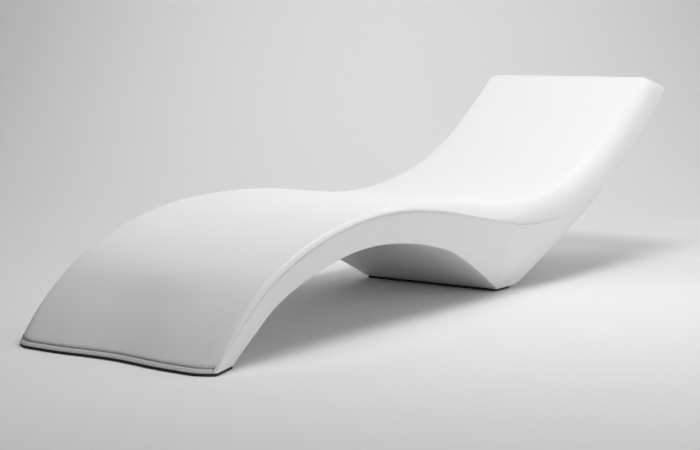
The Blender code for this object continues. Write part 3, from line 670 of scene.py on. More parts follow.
def filleted(corners, radius):
    """Round the corners of an outline that runs anticlockwise."""
    rounded = []
    count = len(corners)
    for i, corner in enumerate(corners):
        corner = Vector(corner)
        before = (corner - Vector(corners[i - 1])).normalized()
        after = (Vector(corners[(i + 1) % count]) - corner).normalized()
        turn = before.angle(after)
        start = corner - before * radius * math.tan(turn / 2)
        left = Vector((-before.y, before.x))
        for j in range(FILLET_STEPS + 1):
            angle = turn * j / FILLET_STEPS
            swing = math.sin(angle) * before + (1 - math.cos(angle)) * left
            rounded.append(tuple(start + radius * swing))
    return rounded


def shrunk(corners, inset):
    """Move every side of an anticlockwise outline inward."""
    flat = [Vector((x, y, 0.0)) for x, y in corners]
    return [(point.x, point.y) for point in drawn_in(flat, inset, Vector((0.0, 0.0, -1.0)))]


def show(piece, slot, body, *nodes):
    """Let a piece ride and stand for its nodes. The slot is not used."""
    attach(piece, body)
    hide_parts(*nodes)


# The moulding

def eased(share):
    """A share held between 0 and 1, with soft ends."""
    share = min(max(share, 0.0), 1.0)
    return share * share * (3 - 2 * share)


def blend(points, knots, place, start_slope=None):
    """A smooth curve through rows of values, with slopes taken from the neighbours."""
    rows = len(points)

    def chord(i):
        step = knots[i + 1] - knots[i]
        return [(b - a) / step for a, b in zip(points[i], points[i + 1])]

    def slope(i):
        if 0 < i < rows - 1:
            before = knots[i] - knots[i - 1]
            after = knots[i + 1] - knots[i]
            return [(a * after + b * before) / (before + after) for a, b in zip(chord(i - 1), chord(i))]
        if i == 0 and start_slope is not None:
            return start_slope
        if i == 0:
            return [2 * a - b for a, b in zip(chord(0), slope(1))]
        return [2 * a - b for a, b in zip(chord(rows - 2), slope(rows - 2))]

    span = 0
    while span < rows - 2 and place > knots[span + 1]:
        span += 1
    step = knots[span + 1] - knots[span]
    t = (place - knots[span]) / step
    weights = (2 * t**3 - 3 * t**2 + 1, t**3 - 2 * t**2 + t, 3 * t**2 - 2 * t**3, t**3 - t**2)
    columns = zip(points[span], slope(span), points[span + 1], slope(span + 1))
    return [a * weights[0] + m * step * weights[1] + b * weights[2] + n * step * weights[3]
            for a, m, b, n in columns]


class Moulding:
    """The hollow body as ribs square to its side view, at any rib number."""

    def __init__(self, shape):
        self.half_width = shape.width / 2
        self.wall = shape.wall
        self.crease_reach = shape.crease_reach
        self.length = shape.length
        rise = shape.height - BASE
        self.rows = []
        for tx, tz, kx, kz, lx, lz, low_half, roll in RIB_SHARES:
            sides = [value * shape.length - shape.length / 2 for value in (tx, kx, lx)]
            heights = [BASE + value * rise for value in (tz, kz, lz)]
            self.rows.append((sides[0], heights[0], sides[1], heights[1], sides[2], heights[2],
                              low_half * self.half_width, roll * self.half_width))
        self.knots = [0.0]
        for last, following in zip(self.rows, self.rows[1:]):
            self.knots.append(self.knots[-1] + math.dist(last[:2], following[:2]))
        self.last = len(self.rows) - 1

    def rib(self, place):
        """Top, crease and lower edge in the side view, the half-width below and the roll's width."""
        span = min(int(place), self.last - 1)
        knot = self.knots[span] + (place - span) * (self.knots[span + 1] - self.knots[span])
        tx, tz, kx, kz = blend([row[:4] for row in self.rows], self.knots, knot)
        low_half, roll = blend([row[6:] for row in self.rows], self.knots, knot)
        front, back = HEEL_FRONT_RIB, HEEL_BACK_RIB
        if place <= front:
            lx, lz = blend([row[4:6] for row in self.rows[:front + 1]], self.knots[:front + 1], knot)
        elif place <= back:
            share = (place - front) / (back - front)
            lx = self.rows[front][4] * (1 - share) + self.rows[back][4] * share
            lz = BASE
        else:
            run = (self.rows[back + 1][4] - self.rows[back][4]) / (self.knots[back + 1] - self.knots[back])
            lx, lz = blend([row[4:6] for row in self.rows[back:]], self.knots[back:], knot, (run, 0.0))
        return Vector((tx, tz)), Vector((kx, kz)), Vector((lx, lz)), low_half, roll

    def rolled_edge(self, place, drop, roll, crown_steps, turn_steps, reach=0.0):
        """Places across and depths of the rolled edge, from the flat top: a crown that steepens evenly, then
        a tight turn that ends square to the flat, or short of that where the soft crease takes over. Up the
        back, the edge is one even round instead."""
        tight = min(TURN_RADIUS, drop * TURN_MOST_SHARE, roll * TURN_MOST_SHARE)
        lean = TURN_FIRST_LEAN
        for _ in range(TURN_ROUNDS):
            run = roll - tight * (1 - math.sin(lean))
            fall = drop - tight * math.cos(lean)
            lean = math.atan2(2 * fall, run)
        points = [(run * i / crown_steps, fall * (i / crown_steps)**2) for i in range(crown_steps + 1)]
        last = max(lean, math.acos(min(1.0, reach / tight)))
        for i in range(1, turn_steps + 1):
            angle = lean + (last - lean) * i / turn_steps
            points.append((roll - tight * (1 - math.sin(angle)), drop - tight * math.cos(angle)))
        even = eased((place - ROUND_START_RIB) / (ROUND_END_RIB - ROUND_START_RIB))
        power = 2 / ROUND_FULLNESS
        for i, (across, depth) in enumerate(points):
            share = i / (len(points) - 1)
            round_across = roll * math.sin(math.pi / 2 * share)**power
            round_depth = drop * (1 - math.sin(math.pi / 2 * (1 - share))**power)
            points[i] = (across + (round_across - across) * even, depth + (round_depth - depth) * even)
        return points

    def head_corner(self):
        """The stretch of the head end's round corners, in ribs."""
        return HEAD_CORNER_RADIUS / (self.knots[self.last] - self.knots[self.last - 1])

    def head_inset(self, place):
        """How far the sides draw in round the head end's corners."""
        short = max(0.0, 1 - (self.last - place) / self.head_corner())
        return HEAD_CORNER_RADIUS * (1 - math.sqrt(1 - short**2))

    def groove(self, place):
        """How much of the groove under the rolled edge there is at a rib number, from none to all of it."""
        faint = 1 - GROOVE_FAINT_SHARE * eased(1 - abs(place - GROOVE_FAINT_RIB) / GROOVE_FAINT_RIBS)
        return eased(place / GROOVE_START_RIBS) * eased((self.last - place) / GROOVE_END_RIBS) * faint

    @staticmethod
    def toe_wave(place, across):
        """How far the flat top is set back near the toe, most in the middle."""
        if place >= WAVE_END_RIB or abs(across) >= WAVE_REACH:
            return 0.0
        height = (1 + math.cos(math.pi * across / WAVE_REACH)) / 2
        return WAVE_DEPTH * height * (1 - (place / WAVE_END_RIB)**2)**2

    def section(self, place, crown_steps=CROWN_STEPS, turn_steps=TURN_STEPS, crease_steps=len(GROOVE_SHARES),
                edge_steps=EDGE_STEPS, flat_steps=FLAT_STEPS, least_roll=0.0, lower_radius=LOWER_RADIUS):
        """One closed loop round the moulding: flat top, rolled edge, soft crease, drawn-in side and rounded
        lower edge."""
        top, crease, low, low_half, roll = self.rib(place)
        roll = max(roll, least_roll)
        inset = self.head_inset(place)
        wide = self.half_width - inset
        low_half = low_half - inset
        drop = (crease - top).length
        reach = self.crease_reach if crease_steps else 0.0
        groove = self.groove(place) if crease_steps else 0.0
        half = []
        before = None
        plain = self.rolled_edge(place, drop, roll, crown_steps, turn_steps, reach)
        whole = self.rolled_edge(place, drop, roll, crown_steps, turn_steps)
        for (across, depth), (full_across, full_depth) in zip(plain, whole):
            spot = top.lerp(crease, depth / drop)
            full = top.lerp(crease, full_depth / drop)
            before = Vector((spot.x, wide - roll + across, spot.y))
            half.append(before.lerp(Vector((full.x, wide - roll + full_across, full.y)), groove))
        corner = Vector((crease.x, wide, crease.y))
        side = (Vector((low.x, low_half, low.y)) - corner).normalized()
        after = corner + side * reach
        depth = (low - crease).length
        along = (low - crease).normalized()
        lean = (wide - low_half) / depth
        size = min(GROOVE_REACH, GROOVE_SIDE_SHARE * depth)
        for i, (deep, down) in enumerate(GROOVE_SHARES[:crease_steps], 1):
            share = i / crease_steps
            soft = before.lerp(corner, share).lerp(corner.lerp(after, share), share)
            spot = crease + along * down * size
            inward = (deep + down * lean) * size
            half.append(soft.lerp(Vector((spot.x, wide - inward, spot.y)), groove))
        slant = Vector((low_half - wide, depth)).normalized()
        turn = math.acos(max(-1.0, min(1.0, -slant.x)))
        inward = Vector((-slant.y, slant.x))
        start = Vector((low_half, depth)) - slant * lower_radius * math.tan(turn / 2)
        for i in range(edge_steps + 1):
            angle = turn * i / edge_steps
            point = start + lower_radius * (math.sin(angle) * slant + (1 - math.cos(angle)) * inward)
            spot = crease + along * point.y
            half.append(Vector((spot.x, point.x, spot.y)))
        return self.mirrored(place, half, flat_steps)

    def mirrored(self, place, half, flat_steps):
        """Close a half section over the middle, with points along its top and its flat underside."""
        loop = list(half)
        under, over = half[-1], half[0]
        for i in range(1, flat_steps):
            share = 1 - 2 * i / flat_steps
            loop.append(Vector((under.x, under.y * share, under.z)))
        loop += [Vector((point.x, -point.y, point.z)) for point in reversed(half)]
        for i in range(1, flat_steps):
            across = over.y * (2 * i / flat_steps - 1)
            loop.append(Vector((over.x + self.toe_wave(place, across), across, over.z)))
        return loop

    def skin(self):
        """The outside, from the toe's flat to the rounded head end."""
        corner = self.head_corner()
        places = [i / RINGS_PER_RIB for i in range(self.last * RINGS_PER_RIB)]
        places = [place for place in places if place < self.last - corner * HEAD_CORNER_MARGIN]
        places += [self.last - corner * (1 - math.sin(angle)) for angle in quarter(HEAD_CORNER_STEPS)]
        loops = [self.section(place) for place in places]
        last = loops[-1]
        top, _, low, _, _ = self.rib(self.last)
        rearward = Vector((low.x - top.x, 0.0, low.y - top.y)).normalized()
        outward = Vector((0.0, 1.0, 0.0)).cross(-rearward)
        for angle in quarter(HEAD_STEPS)[1:]:
            lifted = drawn_in(last, HEAD_RADIUS * (1 - math.cos(angle)), outward)
            loops.append([point + outward * HEAD_RADIUS * math.sin(angle) for point in lifted])
        return loft(loops)

    def hollow(self):
        """The space inside, one wall behind the skin."""
        places = [CAVITY_START_RIB]
        places += [i / CAVITY_RINGS_PER_RIB for i in range(1, CAVITY_RINGS_PER_RIB * self.last)]
        places.append(CAVITY_END_RIB)
        return loft([self.hollow_section(place) for place in places])

    def hollow_section(self, place):
        """One closed loop round the space inside."""
        top, _, low, _, _ = self.rib(place)
        ahead, _, _, _, _ = self.rib(place + SMALL_RIB_STEP)
        along = (ahead - top).normalized()
        down = (low - top).normalized()
        inset = self.wall / max(abs(along.cross(down)), LEAST_WALL_SINE)
        onward = Vector((0.0, 1.0, 0.0)).cross(Vector((-down.x, 0.0, -down.y)))
        section = self.section(place, crown_steps=4, turn_steps=2, crease_steps=0, edge_steps=2, flat_steps=8,
                               least_roll=HOLLOW_ROLL, lower_radius=HOLLOW_LOWER_RADIUS)
        return drawn_in(section, inset, onward)

    def under_face(self, place):
        """Middle of the underside at a rib number, and the way that it faces."""
        _, _, low, _, _ = self.rib(place)
        _, _, ahead, _, _ = self.rib(place + SMALL_RIB_STEP)
        along = (ahead - low).normalized()
        return Vector((low.x, 0.0, low.y)), Vector((along.y, 0.0, -along.x))

    def front_outline(self, inset):
        """The toe's flat underside, drawn in."""
        loop = drawn_in(self.section(0.0), inset, Vector((0.0, 0.0, 1.0)))
        return [(point.x, point.y) for point in reversed(loop)]

    def front_tongue(self, clearance):
        """The locating tongue's plan, behind the strip's channel."""
        top, _, low, low_half, _ = self.rib(0.0)
        front, back = top.x + TONGUE_SETBACK, low.x - TONGUE_INSET
        corners = [(front, TONGUE_INSET - self.half_width), (back, TONGUE_INSET - low_half),
                   (back, low_half - TONGUE_INSET), (front, self.half_width - TONGUE_INSET)]
        return filleted(shrunk(corners, -clearance), SHOE_CORNER_RADIUS)

    def rear_outline(self, inset):
        """The heel's flat underside, drawn in, with round corners."""
        _, _, front, half, _ = self.rib(HEEL_FRONT_RIB)
        _, _, back, _, _ = self.rib(HEEL_BACK_RIB)
        reach = half - LOWER_RADIUS
        corners = [(front.x, -reach), (back.x, -reach), (back.x, reach), (front.x, reach)]
        corner = max(SHOE_CORNER_RADIUS - inset, SHOE_INSET)
        return filleted(shrunk(corners, inset), corner)

    def toe_face(self, rise, depth):
        """A point measured up the toe's slope and in from its face, from the toe's tip."""
        top, _, _, _, _ = self.rib(0.0)
        above, _, _, _, _ = self.rib(1 / RINGS_PER_RIB)
        slope = (above - top).normalized()
        return slope.x * rise + slope.y * depth, slope.y * rise - slope.x * depth

    def toe_back(self, across):
        """Where the toe's tip lies at a place across the width."""
        top, crease, _, _, roll = self.rib(0.0)
        beyond = abs(across) - (self.half_width - roll)
        if beyond <= 0:
            return top.x + self.toe_wave(0.0, across)
        edge = self.rolled_edge(0.0, (crease - top).length, roll, CROWN_STEPS, TURN_STEPS)
        for (near, back), (far, further) in zip(edge, edge[1:]):
            if far >= beyond:
                return top.x + back + (further - back) * (beyond - near) / (far - near)
        return crease.x


def screw_places(end):
    """Plan places of one foot's screws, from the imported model."""
    places = []
    for number in range(1, 5):
        low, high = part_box(f"{end}_screw_{number}")
        places.append(((low.x + high.x) / 2, (low.y + high.y) / 2))
    return places


def insert_floor():
    """Height at which the threaded inserts start."""
    return SHOE_SHOW + TONGUE_HEIGHT + 2 * SEAT_GAP


def insert_pocket(angle):
    """The hexagonal pocket that a threaded insert stands in."""
    return rod(hexagon(INSERT_RADIUS + SEAT_GAP, angle), -OVERRUN, INSERT_LENGTH + SEAT_GAP)


def filler_place():
    """Placement of the filler, from the plug's joint."""
    joint = next(j for j in frame["joints"] if j["name"] == "plug_turn")
    return facing(Vector(joint["pos_m"]), Vector(joint["axis"]).normalized())


def toe_channel(moulding):
    """The channel across the toe, with a rounded upper edge."""
    reach = moulding.half_width - CHANNEL_END_SETBACK
    profile = [(-OVERRUN, -OVERRUN), (CHANNEL_HEIGHT + CHANNEL_EDGE_RADIUS, -OVERRUN)]
    for angle in quarter(CHANNEL_EDGE_STEPS):
        profile.append((CHANNEL_HEIGHT + CHANNEL_EDGE_RADIUS * (1 - math.sin(angle)),
                        CHANNEL_EDGE_RADIUS * (1 - math.cos(angle))))
    profile += [(CHANNEL_HEIGHT, CHANNEL_DEPTH), (-OVERRUN, CHANNEL_DEPTH)]
    loops = []
    for i in range(-CHANNEL_STEPS, CHANNEL_STEPS + 1):
        across = reach * i / CHANNEL_STEPS
        back = moulding.toe_back(across)
        outline = [moulding.toe_face(rise, depth) for rise, depth in profile]
        loops.append([(back + x, across, BASE + z) for x, z in outline])
    return object_from("channel", loft(loops))


def hollow_of(moulding):
    """The cavity, with the solid feet, the insert bosses and the neck's seat left standing."""
    cavity = object_from("cavity", moulding.hollow())
    reach = moulding.length
    combine(cavity, box("feet", (0.0, -reach, -OVERRUN), (reach, reach, BASE + FOOT_WALL)), "DIFFERENCE")
    top = insert_floor() + INSERT_LENGTH + BOSS_CAP
    for x, y in screw_places("front") + screw_places("rear"):
        boss = turned("boss", steady(rod(BOSS_RADIUS, -OVERRUN, top)), SCREW_SIDES // 2)
        boss.location = (x, y, 0.0)
        combine(cavity, boss, "DIFFERENCE")
    seat_rod = rod(NECK_BOSS_RADIUS, -moulding.wall - NECK_FLANGE_THICKNESS, OVERRUN)
    seat = turned("seat", steady(seat_rod), FINE_SIDES)
    seat.matrix_world = filler_place()
    combine(cavity, seat, "DIFFERENCE")
    return cavity


def make_shell(moulding):
    """The hollow moulding with its channel, recesses, pockets and holes."""
    shell = object_from("shell_moulding", moulding.skin())
    combine(shell, hollow_of(moulding), "DIFFERENCE")
    combine(shell, toe_channel(moulding), "DIFFERENCE")
    for outline in (moulding.front_tongue(SEAT_GAP), moulding.rear_outline(TONGUE_INSET - SEAT_GAP)):
        recess = prism("recess", outline, BASE - OVERRUN, SHOE_SHOW + TONGUE_HEIGHT + SEAT_GAP)
        combine(shell, recess, "DIFFERENCE")
    for x, y in screw_places("front") + screw_places("rear"):
        pocket = turned("pocket", insert_pocket, SCREW_SIDES)
        pocket.location = (x, y, insert_floor())
        combine(shell, pocket, "DIFFERENCE")
    floor = -NECK_FLANGE_THICKNESS - SEAT_GAP
    hole, seat = NECK_TUBE_RADIUS + SEAT_GAP, NECK_FLANGE_RADIUS + SEAT_GAP
    outline = [(0.0, -NECK_DEPTH), (hole, -NECK_DEPTH), (hole, floor), (seat, floor), (seat, OVERRUN),
               (0.0, OVERRUN)]
    neck_hole = turned("neck_hole", steady(outline), FINE_SIDES)
    neck_hole.matrix_world = filler_place()
    combine(shell, neck_hole, "DIFFERENCE")
    vent_rod = rod(VENT_HOLE_RADIUS, -moulding.wall - OVERRUN, OVERRUN)
    vent_hole = turned("vent_hole", steady(vent_rod), SCREW_SIDES)
    vent_hole.matrix_world = facing(*moulding.under_face(VENT_RIB))
    combine(shell, vent_hole, "DIFFERENCE")
    smooth(shell)
    return shell


# Toe strip and shoes

def make_toe_strip(moulding):
    """A bar with a rounded top edge and rounded ends, standing in the channel."""
    reach = moulding.half_width - CHANNEL_END_SETBACK - STRIP_END_GAP
    rise = CHANNEL_HEIGHT - STRIP_TOP_GAP
    back = CHANNEL_DEPTH - SEAT_GAP
    round_off = STRIP_EDGE_RADIUS
    loops = []
    ends = [-reach + round_off * (1 - math.cos(angle)) for angle in quarter(STRIP_END_STEPS)]
    straight = 2 * reach - 2 * round_off
    middle = [-reach + round_off + straight * i / STRIP_STEPS for i in range(1, STRIP_STEPS)]
    for across in ends + middle + [-station for station in reversed(ends)]:
        short = max(0.0, abs(across) - (reach - round_off))
        drop = round_off - math.sqrt(max(0.0, round_off**2 - short**2))
        curve = moulding.toe_back(across)
        outline = strip_outline(moulding, rise - drop, back, drop)
        loops.append([(curve + x, across, BASE + z) for x, z in outline])
    return object_from("toe_strip_bar", loft(loops), "pale_strip")


def strip_outline(moulding, rise, back, drop):
    """The strip's profile: level foot, flat back, rounded top edge, a flat face and a foot tucked in a little.
    """
    front = drop * STRIP_END_SETBACK_SHARE
    radius = STRIP_EDGE_RADIUS - drop * STRIP_END_RADIUS_SHARE
    points = [(moulding.toe_face(0.0, back)[0], 0.0), moulding.toe_face(rise, back)]
    for angle in quarter(STRIP_EDGE_STEPS):
        points.append(moulding.toe_face(rise - radius * (1 - math.cos(angle)),
                                        front + radius * (1 - math.sin(angle))))
    for i in range(STRIP_FOOT_STEPS + 1):
        share = i / STRIP_FOOT_STEPS
        points.append(moulding.toe_face(STRIP_FOOT_TUCK * (1 - share), front + STRIP_FOOT_TUCK * share**2))
    points[-1] = (points[-1][0], 0.0)
    return points


def make_shoe(name, plan, tongue, places):
    """A rubber shoe with rounded edges, a locating tongue, counterbores and a grooved sole."""
    rings = []
    for angle in quarter(SHOE_EDGE_STEPS):
        inset = SHOE_EDGE * (1 - math.sin(angle))
        rings.append([(x, y, SHOE_EDGE * (1 - math.cos(angle))) for x, y in shrunk(plan, inset)])
    rings.append([(x, y, SHOE_SHOW) for x, y in plan])
    shoe = object_from(name, loft(rings), "black_rubber")
    combine(shoe, prism("ridge", tongue, SHOE_SHOW / 2, SHOE_SHOW + TONGUE_HEIGHT, "black_rubber"), "UNION")
    low = Vector((min(x for x, _ in plan), min(y for _, y in plan)))
    high = Vector((max(x for x, _ in plan), max(y for _, y in plan)))
    grooves = int((high.x - low.x - 2 * SHOE_CORNER_RADIUS) / TREAD_PITCH)
    first = (low.x + high.x) / 2 - (grooves - 1) * TREAD_PITCH / 2
    for number in range(grooves):
        x = first + number * TREAD_PITCH
        for start, end in clear_spans(x, low.y + TREAD_END_GAP, high.y - TREAD_END_GAP, places):
            groove = prism("groove", stadium(x, start, end), -OVERRUN, TREAD_DEPTH, "black_rubber")
            combine(shoe, groove, "DIFFERENCE")
    for x, y in places:
        hole = SCREW_RADIUS + SEAT_GAP
        outline = [(0.0, -OVERRUN), (COUNTERBORE_RADIUS, -OVERRUN), (COUNTERBORE_RADIUS, 0.0), (hole, 0.0),
                   (hole, OVERRUN), (0.0, OVERRUN)]
        sink = turned("sink", steady(outline), SCREW_SIDES, "black_rubber")
        sink.location = (x, y, COUNTERBORE_DEPTH)
        combine(shoe, sink, "DIFFERENCE")
    smooth(shoe)
    return shoe


def clear_spans(x, low, high, places):
    """Stretches of a groove that keep clear of the counterbores."""
    clear = COUNTERBORE_RADIUS + TREAD_WIDTH
    spans = []
    start = low
    for place_x, place_y in sorted(places, key=lambda place: place[1]):
        if abs(place_x - x) < clear:
            spans.append((start, place_y - clear))
            start = place_y + clear
    spans.append((start, high))
    return spans


def stadium(x, start, end):
    """A groove's plan outline with round ends."""
    half = TREAD_WIDTH / 2
    outline = []
    for middle, first in ((end - half, 0.0), (start + half, math.pi)):
        for i in range(TREAD_END_STEPS + 1):
            angle = first + math.pi * i / TREAD_END_STEPS
            outline.append((x + half * math.cos(angle), middle + half * math.sin(angle)))
    return outline


# Screws and washers

def make_washer(name, x, y):
    """A plain washer with softened edges, in a shoe's counterbore."""
    hole = SCREW_RADIUS + SEAT_GAP
    low, high = -SEAT_GAP - WASHER_THICKNESS, -SEAT_GAP
    edge = WASHER_THICKNESS / 4
    outline = [(hole, low + edge), (hole + edge, low), (WASHER_RADIUS - edge, low),
               (WASHER_RADIUS, low + edge), (WASHER_RADIUS, high - edge), (WASHER_RADIUS - edge, high),
               (hole + edge, high), (hole, high - edge)]
    washer = turned(name, steady(outline), SCREW_SIDES, "screw_steel", ring=True)
    washer.location = (x, y, COUNTERBORE_DEPTH)
    return washer


def make_screw(name, x, y):
    """A low button head with a hexagon socket, head down, and a shank with a cut thread."""
    seat = -2 * SEAT_GAP - WASHER_THICKNESS
    foot = seat - SCREW_HEAD_HEIGHT
    face = SCREW_HEAD_RADIUS * SCREW_FACE_SHARE
    edge = SCREW_HEAD_HEIGHT * SCREW_EDGE_SHARE
    tip = seat + SCREW_LENGTH
    first = seat + SCREW_LENGTH * SCREW_THREAD_START_SHARE
    count = int(SCREW_LENGTH * SCREW_THREAD_SHARE / SCREW_PITCH * SCREW_THREAD_SAMPLES)
    run = [first + SCREW_PITCH * i / SCREW_THREAD_SAMPLES for i in range(count)]

    def outline(angle):
        socket = hexagon(SOCKET_RADIUS, angle)
        points = [(0.0, foot + SOCKET_DEPTH), (socket, foot + SOCKET_DEPTH), (socket, foot)]
        for part in quarter(BUTTON_STEPS):
            points.append((face + (SCREW_HEAD_RADIUS - face) * math.sin(part),
                           foot + edge * (1 - math.cos(part))))
        points += [(SCREW_HEAD_RADIUS, seat), (SCREW_RADIUS, seat)]
        for height in run:
            wave = 0.5 - 0.5 * math.cos(2 * math.pi * (height / SCREW_PITCH) - angle)
            points.append((SCREW_RADIUS - SCREW_THREAD_DEPTH * wave, height))
        return points + [(SCREW_RADIUS - SCREW_THREAD_DEPTH, tip), (0.0, tip)]

    screw = turned(name, outline, SCREW_SIDES, "screw_steel")
    screw.location = (x, y, COUNTERBORE_DEPTH)
    return screw


# Ballast filler and vent plug

def thread_wave(angle, height):
    """Height of the filler's thread, from 0 to 1, at an angle and a height."""
    return 0.5 + 0.5 * math.cos(2 * math.pi * (height / THREAD_PITCH) - angle)


def fade(height, low, high):
    """How much of a thread there is at a height, with soft ends."""
    run = THREAD_PITCH / 4
    return max(0.0, min(1.0, (height - low) / run, (high - height) / run))


def thread_heights(low, high):
    count = round((high - low) / THREAD_PITCH * THREAD_SAMPLES)
    return [low + (high - low) * i / count for i in range(count + 1)]


def make_filler_neck():
    """A flanged ring with an inside thread, a seal groove and a softened rim."""
    groove = SEAL_SECTION + SEAT_GAP
    heights = thread_heights(-NECK_DEPTH, -THREAD_PITCH / 2)
    rim = NECK_FLANGE_THICKNESS / 4

    def outline(angle):
        points = [(SEAL_RADIUS - groove, 0.0), (SEAL_RADIUS - groove, -SEAL_GROOVE_DEPTH),
                  (SEAL_RADIUS + groove, -SEAL_GROOVE_DEPTH), (SEAL_RADIUS + groove, 0.0)]
        points += arc((NECK_FLANGE_RADIUS - rim, -rim), rim, 90, 0)
        points += [(NECK_FLANGE_RADIUS, -NECK_FLANGE_THICKNESS), (NECK_TUBE_RADIUS, -NECK_FLANGE_THICKNESS),
                   (NECK_TUBE_RADIUS, -NECK_DEPTH)]
        for height in heights:
            ridge = (1 - thread_wave(angle, height)) * fade(height, heights[0], heights[-1])
            points.append((NECK_BORE_RADIUS - THREAD_DEPTH * ridge, height))
        points += [(NECK_BORE_RADIUS, -rim), (NECK_BORE_RADIUS + rim, 0.0)]
        return points

    neck = turned("filler_neck_ring", outline, FINE_SIDES, "grey_fitting", ring=True)
    neck.matrix_world = filler_place()
    return neck


def make_filler_plug():
    """A screw plug: threaded shank, wide head with a rounded rim, and a finger bar between two pockets."""
    heights = thread_heights(PLUG_LIFT - PLUG_SHANK, -THREAD_PITCH / 4)
    narrow = THREAD_RADIUS - THREAD_DEPTH
    top = PLUG_LIFT + PLUG_HEAD_THICKNESS

    def outline(angle):
        points = [(0.0, heights[0])]
        for height in heights:
            ridge = thread_wave(angle, height) * fade(height, heights[0], heights[-1])
            points.append((narrow + THREAD_DEPTH * ridge, height))
        points += [(narrow, PLUG_LIFT), (PLUG_HEAD_RADIUS, PLUG_LIFT)]
        points += arc((PLUG_HEAD_RADIUS - PLUG_EDGE, top - PLUG_EDGE), PLUG_EDGE, 0, 90, 6)
        return points + [(0.0, top)]

    plug = turned("filler_plug_cap", outline, FINE_SIDES, "grey_fitting")
    for sign in (-1, 1):
        combine(plug, grip_pocket(sign, top), "DIFFERENCE")
    smooth(plug)
    plug.matrix_world = filler_place()
    return plug


def grip_pocket(sign, top):
    """Half a disc beside the finger bar, with round corners."""
    start = math.asin(GRIP_BAR / 2 / GRIP_RADIUS)
    corners = []
    steps = FINE_SIDES // 4 - 1
    for i in range(steps + 1):
        angle = start + (math.pi - 2 * start) * i / steps
        corners.append((GRIP_RADIUS * math.cos(angle), sign * GRIP_RADIUS * math.sin(angle)))
    return prism("pocket", corners, top - GRIP_DEPTH, top + OVERRUN, "grey_fitting")


def make_plug_seal():
    """A round sealing ring in the neck's groove."""
    middle = SEAL_SECTION + SEAT_GAP - SEAL_GROOVE_DEPTH
    points = arc((SEAL_RADIUS, middle), SEAL_SECTION, 0, 360 - 360 / SEAL_SIDES, SEAL_SIDES - 1)
    seal = turned("plug_seal_ring", steady(points), FINE_SIDES, "black_rubber", ring=True)
    seal.matrix_world = filler_place()
    return seal


def make_vent_plug(moulding):
    """A push-in plug: a domed head outside and a barb inside the wall."""
    stem = VENT_HOLE_RADIUS - SEAT_GAP
    barb = -moulding.wall - VENT_BARB_HEIGHT
    tip = barb - VENT_BARB_LENGTH
    outline = [(0.0, tip), (stem * VENT_TIP_SHARE, tip), (VENT_BARB_RADIUS, barb), (stem, barb),
               (stem, SEAT_GAP), (VENT_HEAD_RADIUS, SEAT_GAP)]
    for angle in quarter(BUTTON_STEPS)[1:-1]:
        outline.append((VENT_HEAD_RADIUS * math.cos(angle), SEAT_GAP + VENT_HEAD_THICKNESS * math.sin(angle)))
    outline.append((0.0, SEAT_GAP + VENT_HEAD_THICKNESS))
    plug = turned("vent_plug_button", steady(outline), SCREW_SIDES, "grey_fitting")
    plug.matrix_world = facing(*moulding.under_face(VENT_RIB))
    return plug


# Stage

# Soft boxes: where each hangs, what it aims at, its width and its depth. Its power is a setting.
SOFT_BOXES = (
    ("key", (0.1, -0.6, 2.4), (0.1, -0.6, 0.0), 0.8, 0.8),
    ("toe", (-1.0, 0.0, 2.6), (-0.8, 0.0, 0.0), 1.6, 1.6),
    ("side", (-0.4, -4.0, 1.4), (0.0, 0.0, 0.3), 2.4, 1.6),
    ("low", (-3.4, -3.0, 0.6), (-0.2, 0.0, 0.15), 1.6, 0.8),
    ("high", (2.4, -1.6, 2.6), (0.4, 0.0, 0.2), 1.4, 1.2),
    ("head", (2.6, -2.6, 1.2), (0.3, 0.0, 0.2), 1.6, 1.2),
    ("wall", (1.6, 1.2, 2.8), (3.2, 2.4, 0.6), 3.0, 1.0),
    ("far", (0.4, 2.6, 2.8), (0.0, 0.0, 0.2), 2.4, 1.6),
)

# The sweep: how far its floor runs before and behind the object, half its breadth, its bend and its height
SWEEP_NEAR = -9.0
SWEEP_FAR = 1.9
SWEEP_HALF = 9.0
SWEEP_BEND = 2.4
SWEEP_TALL = 6.0
SWEEP_STEPS = 16
SWEEP_ROUGHNESS = 0.9
SWEEP_GLOSS = 0.1

# Camera: the sensor's width in millimetres, and the nearest and furthest things that it sees
SENSOR_WIDTH = 36.0
CLIP_NEAR = 0.05
CLIP_FAR = 60.0


def make_floor(stage):
    """A seamless sweep: level floor that curves up behind the object, square to the camera's view."""
    aim = Vector(stage.camera_aim)
    onward = Vector((aim.x, aim.y, 0.0)).normalized()
    across = Vector((onward.y, -onward.x, 0.0))
    profile = [(SWEEP_NEAR, 0.0), (SWEEP_FAR, 0.0)]
    for angle in quarter(SWEEP_STEPS)[1:]:
        profile.append((SWEEP_FAR + SWEEP_BEND * math.sin(angle), SWEEP_BEND * (1 - math.cos(angle))))
    profile.append((SWEEP_FAR + SWEEP_BEND, SWEEP_TALL))
    bm = bmesh.new()
    rows = []
    for side in (-SWEEP_HALF, SWEEP_HALF):
        spots = [onward * run + across * side for run, _ in profile]
        rows.append([bm.verts.new((spot.x, spot.y, height)) for spot, (_, height) in zip(spots, profile)])
    for i in range(len(profile) - 1):
        bm.faces.new((rows[0][i], rows[1][i], rows[1][i + 1], rows[0][i + 1]))
    mesh = bpy.data.meshes.new("sweep")
    bm.to_mesh(mesh)
    bm.free()
    mesh.shade_smooth()
    sweep = bpy.data.objects.new("sweep", mesh)
    bpy.context.scene.collection.objects.link(sweep)
    finish = Finish("matt paper sweep", (stage.floor_shade,) * 3, SWEEP_ROUGHNESS)
    finish.shader.inputs["Specular IOR Level"].default_value = SWEEP_GLOSS
    finish.clear_from_behind()
    mesh.materials.append(finish.material)


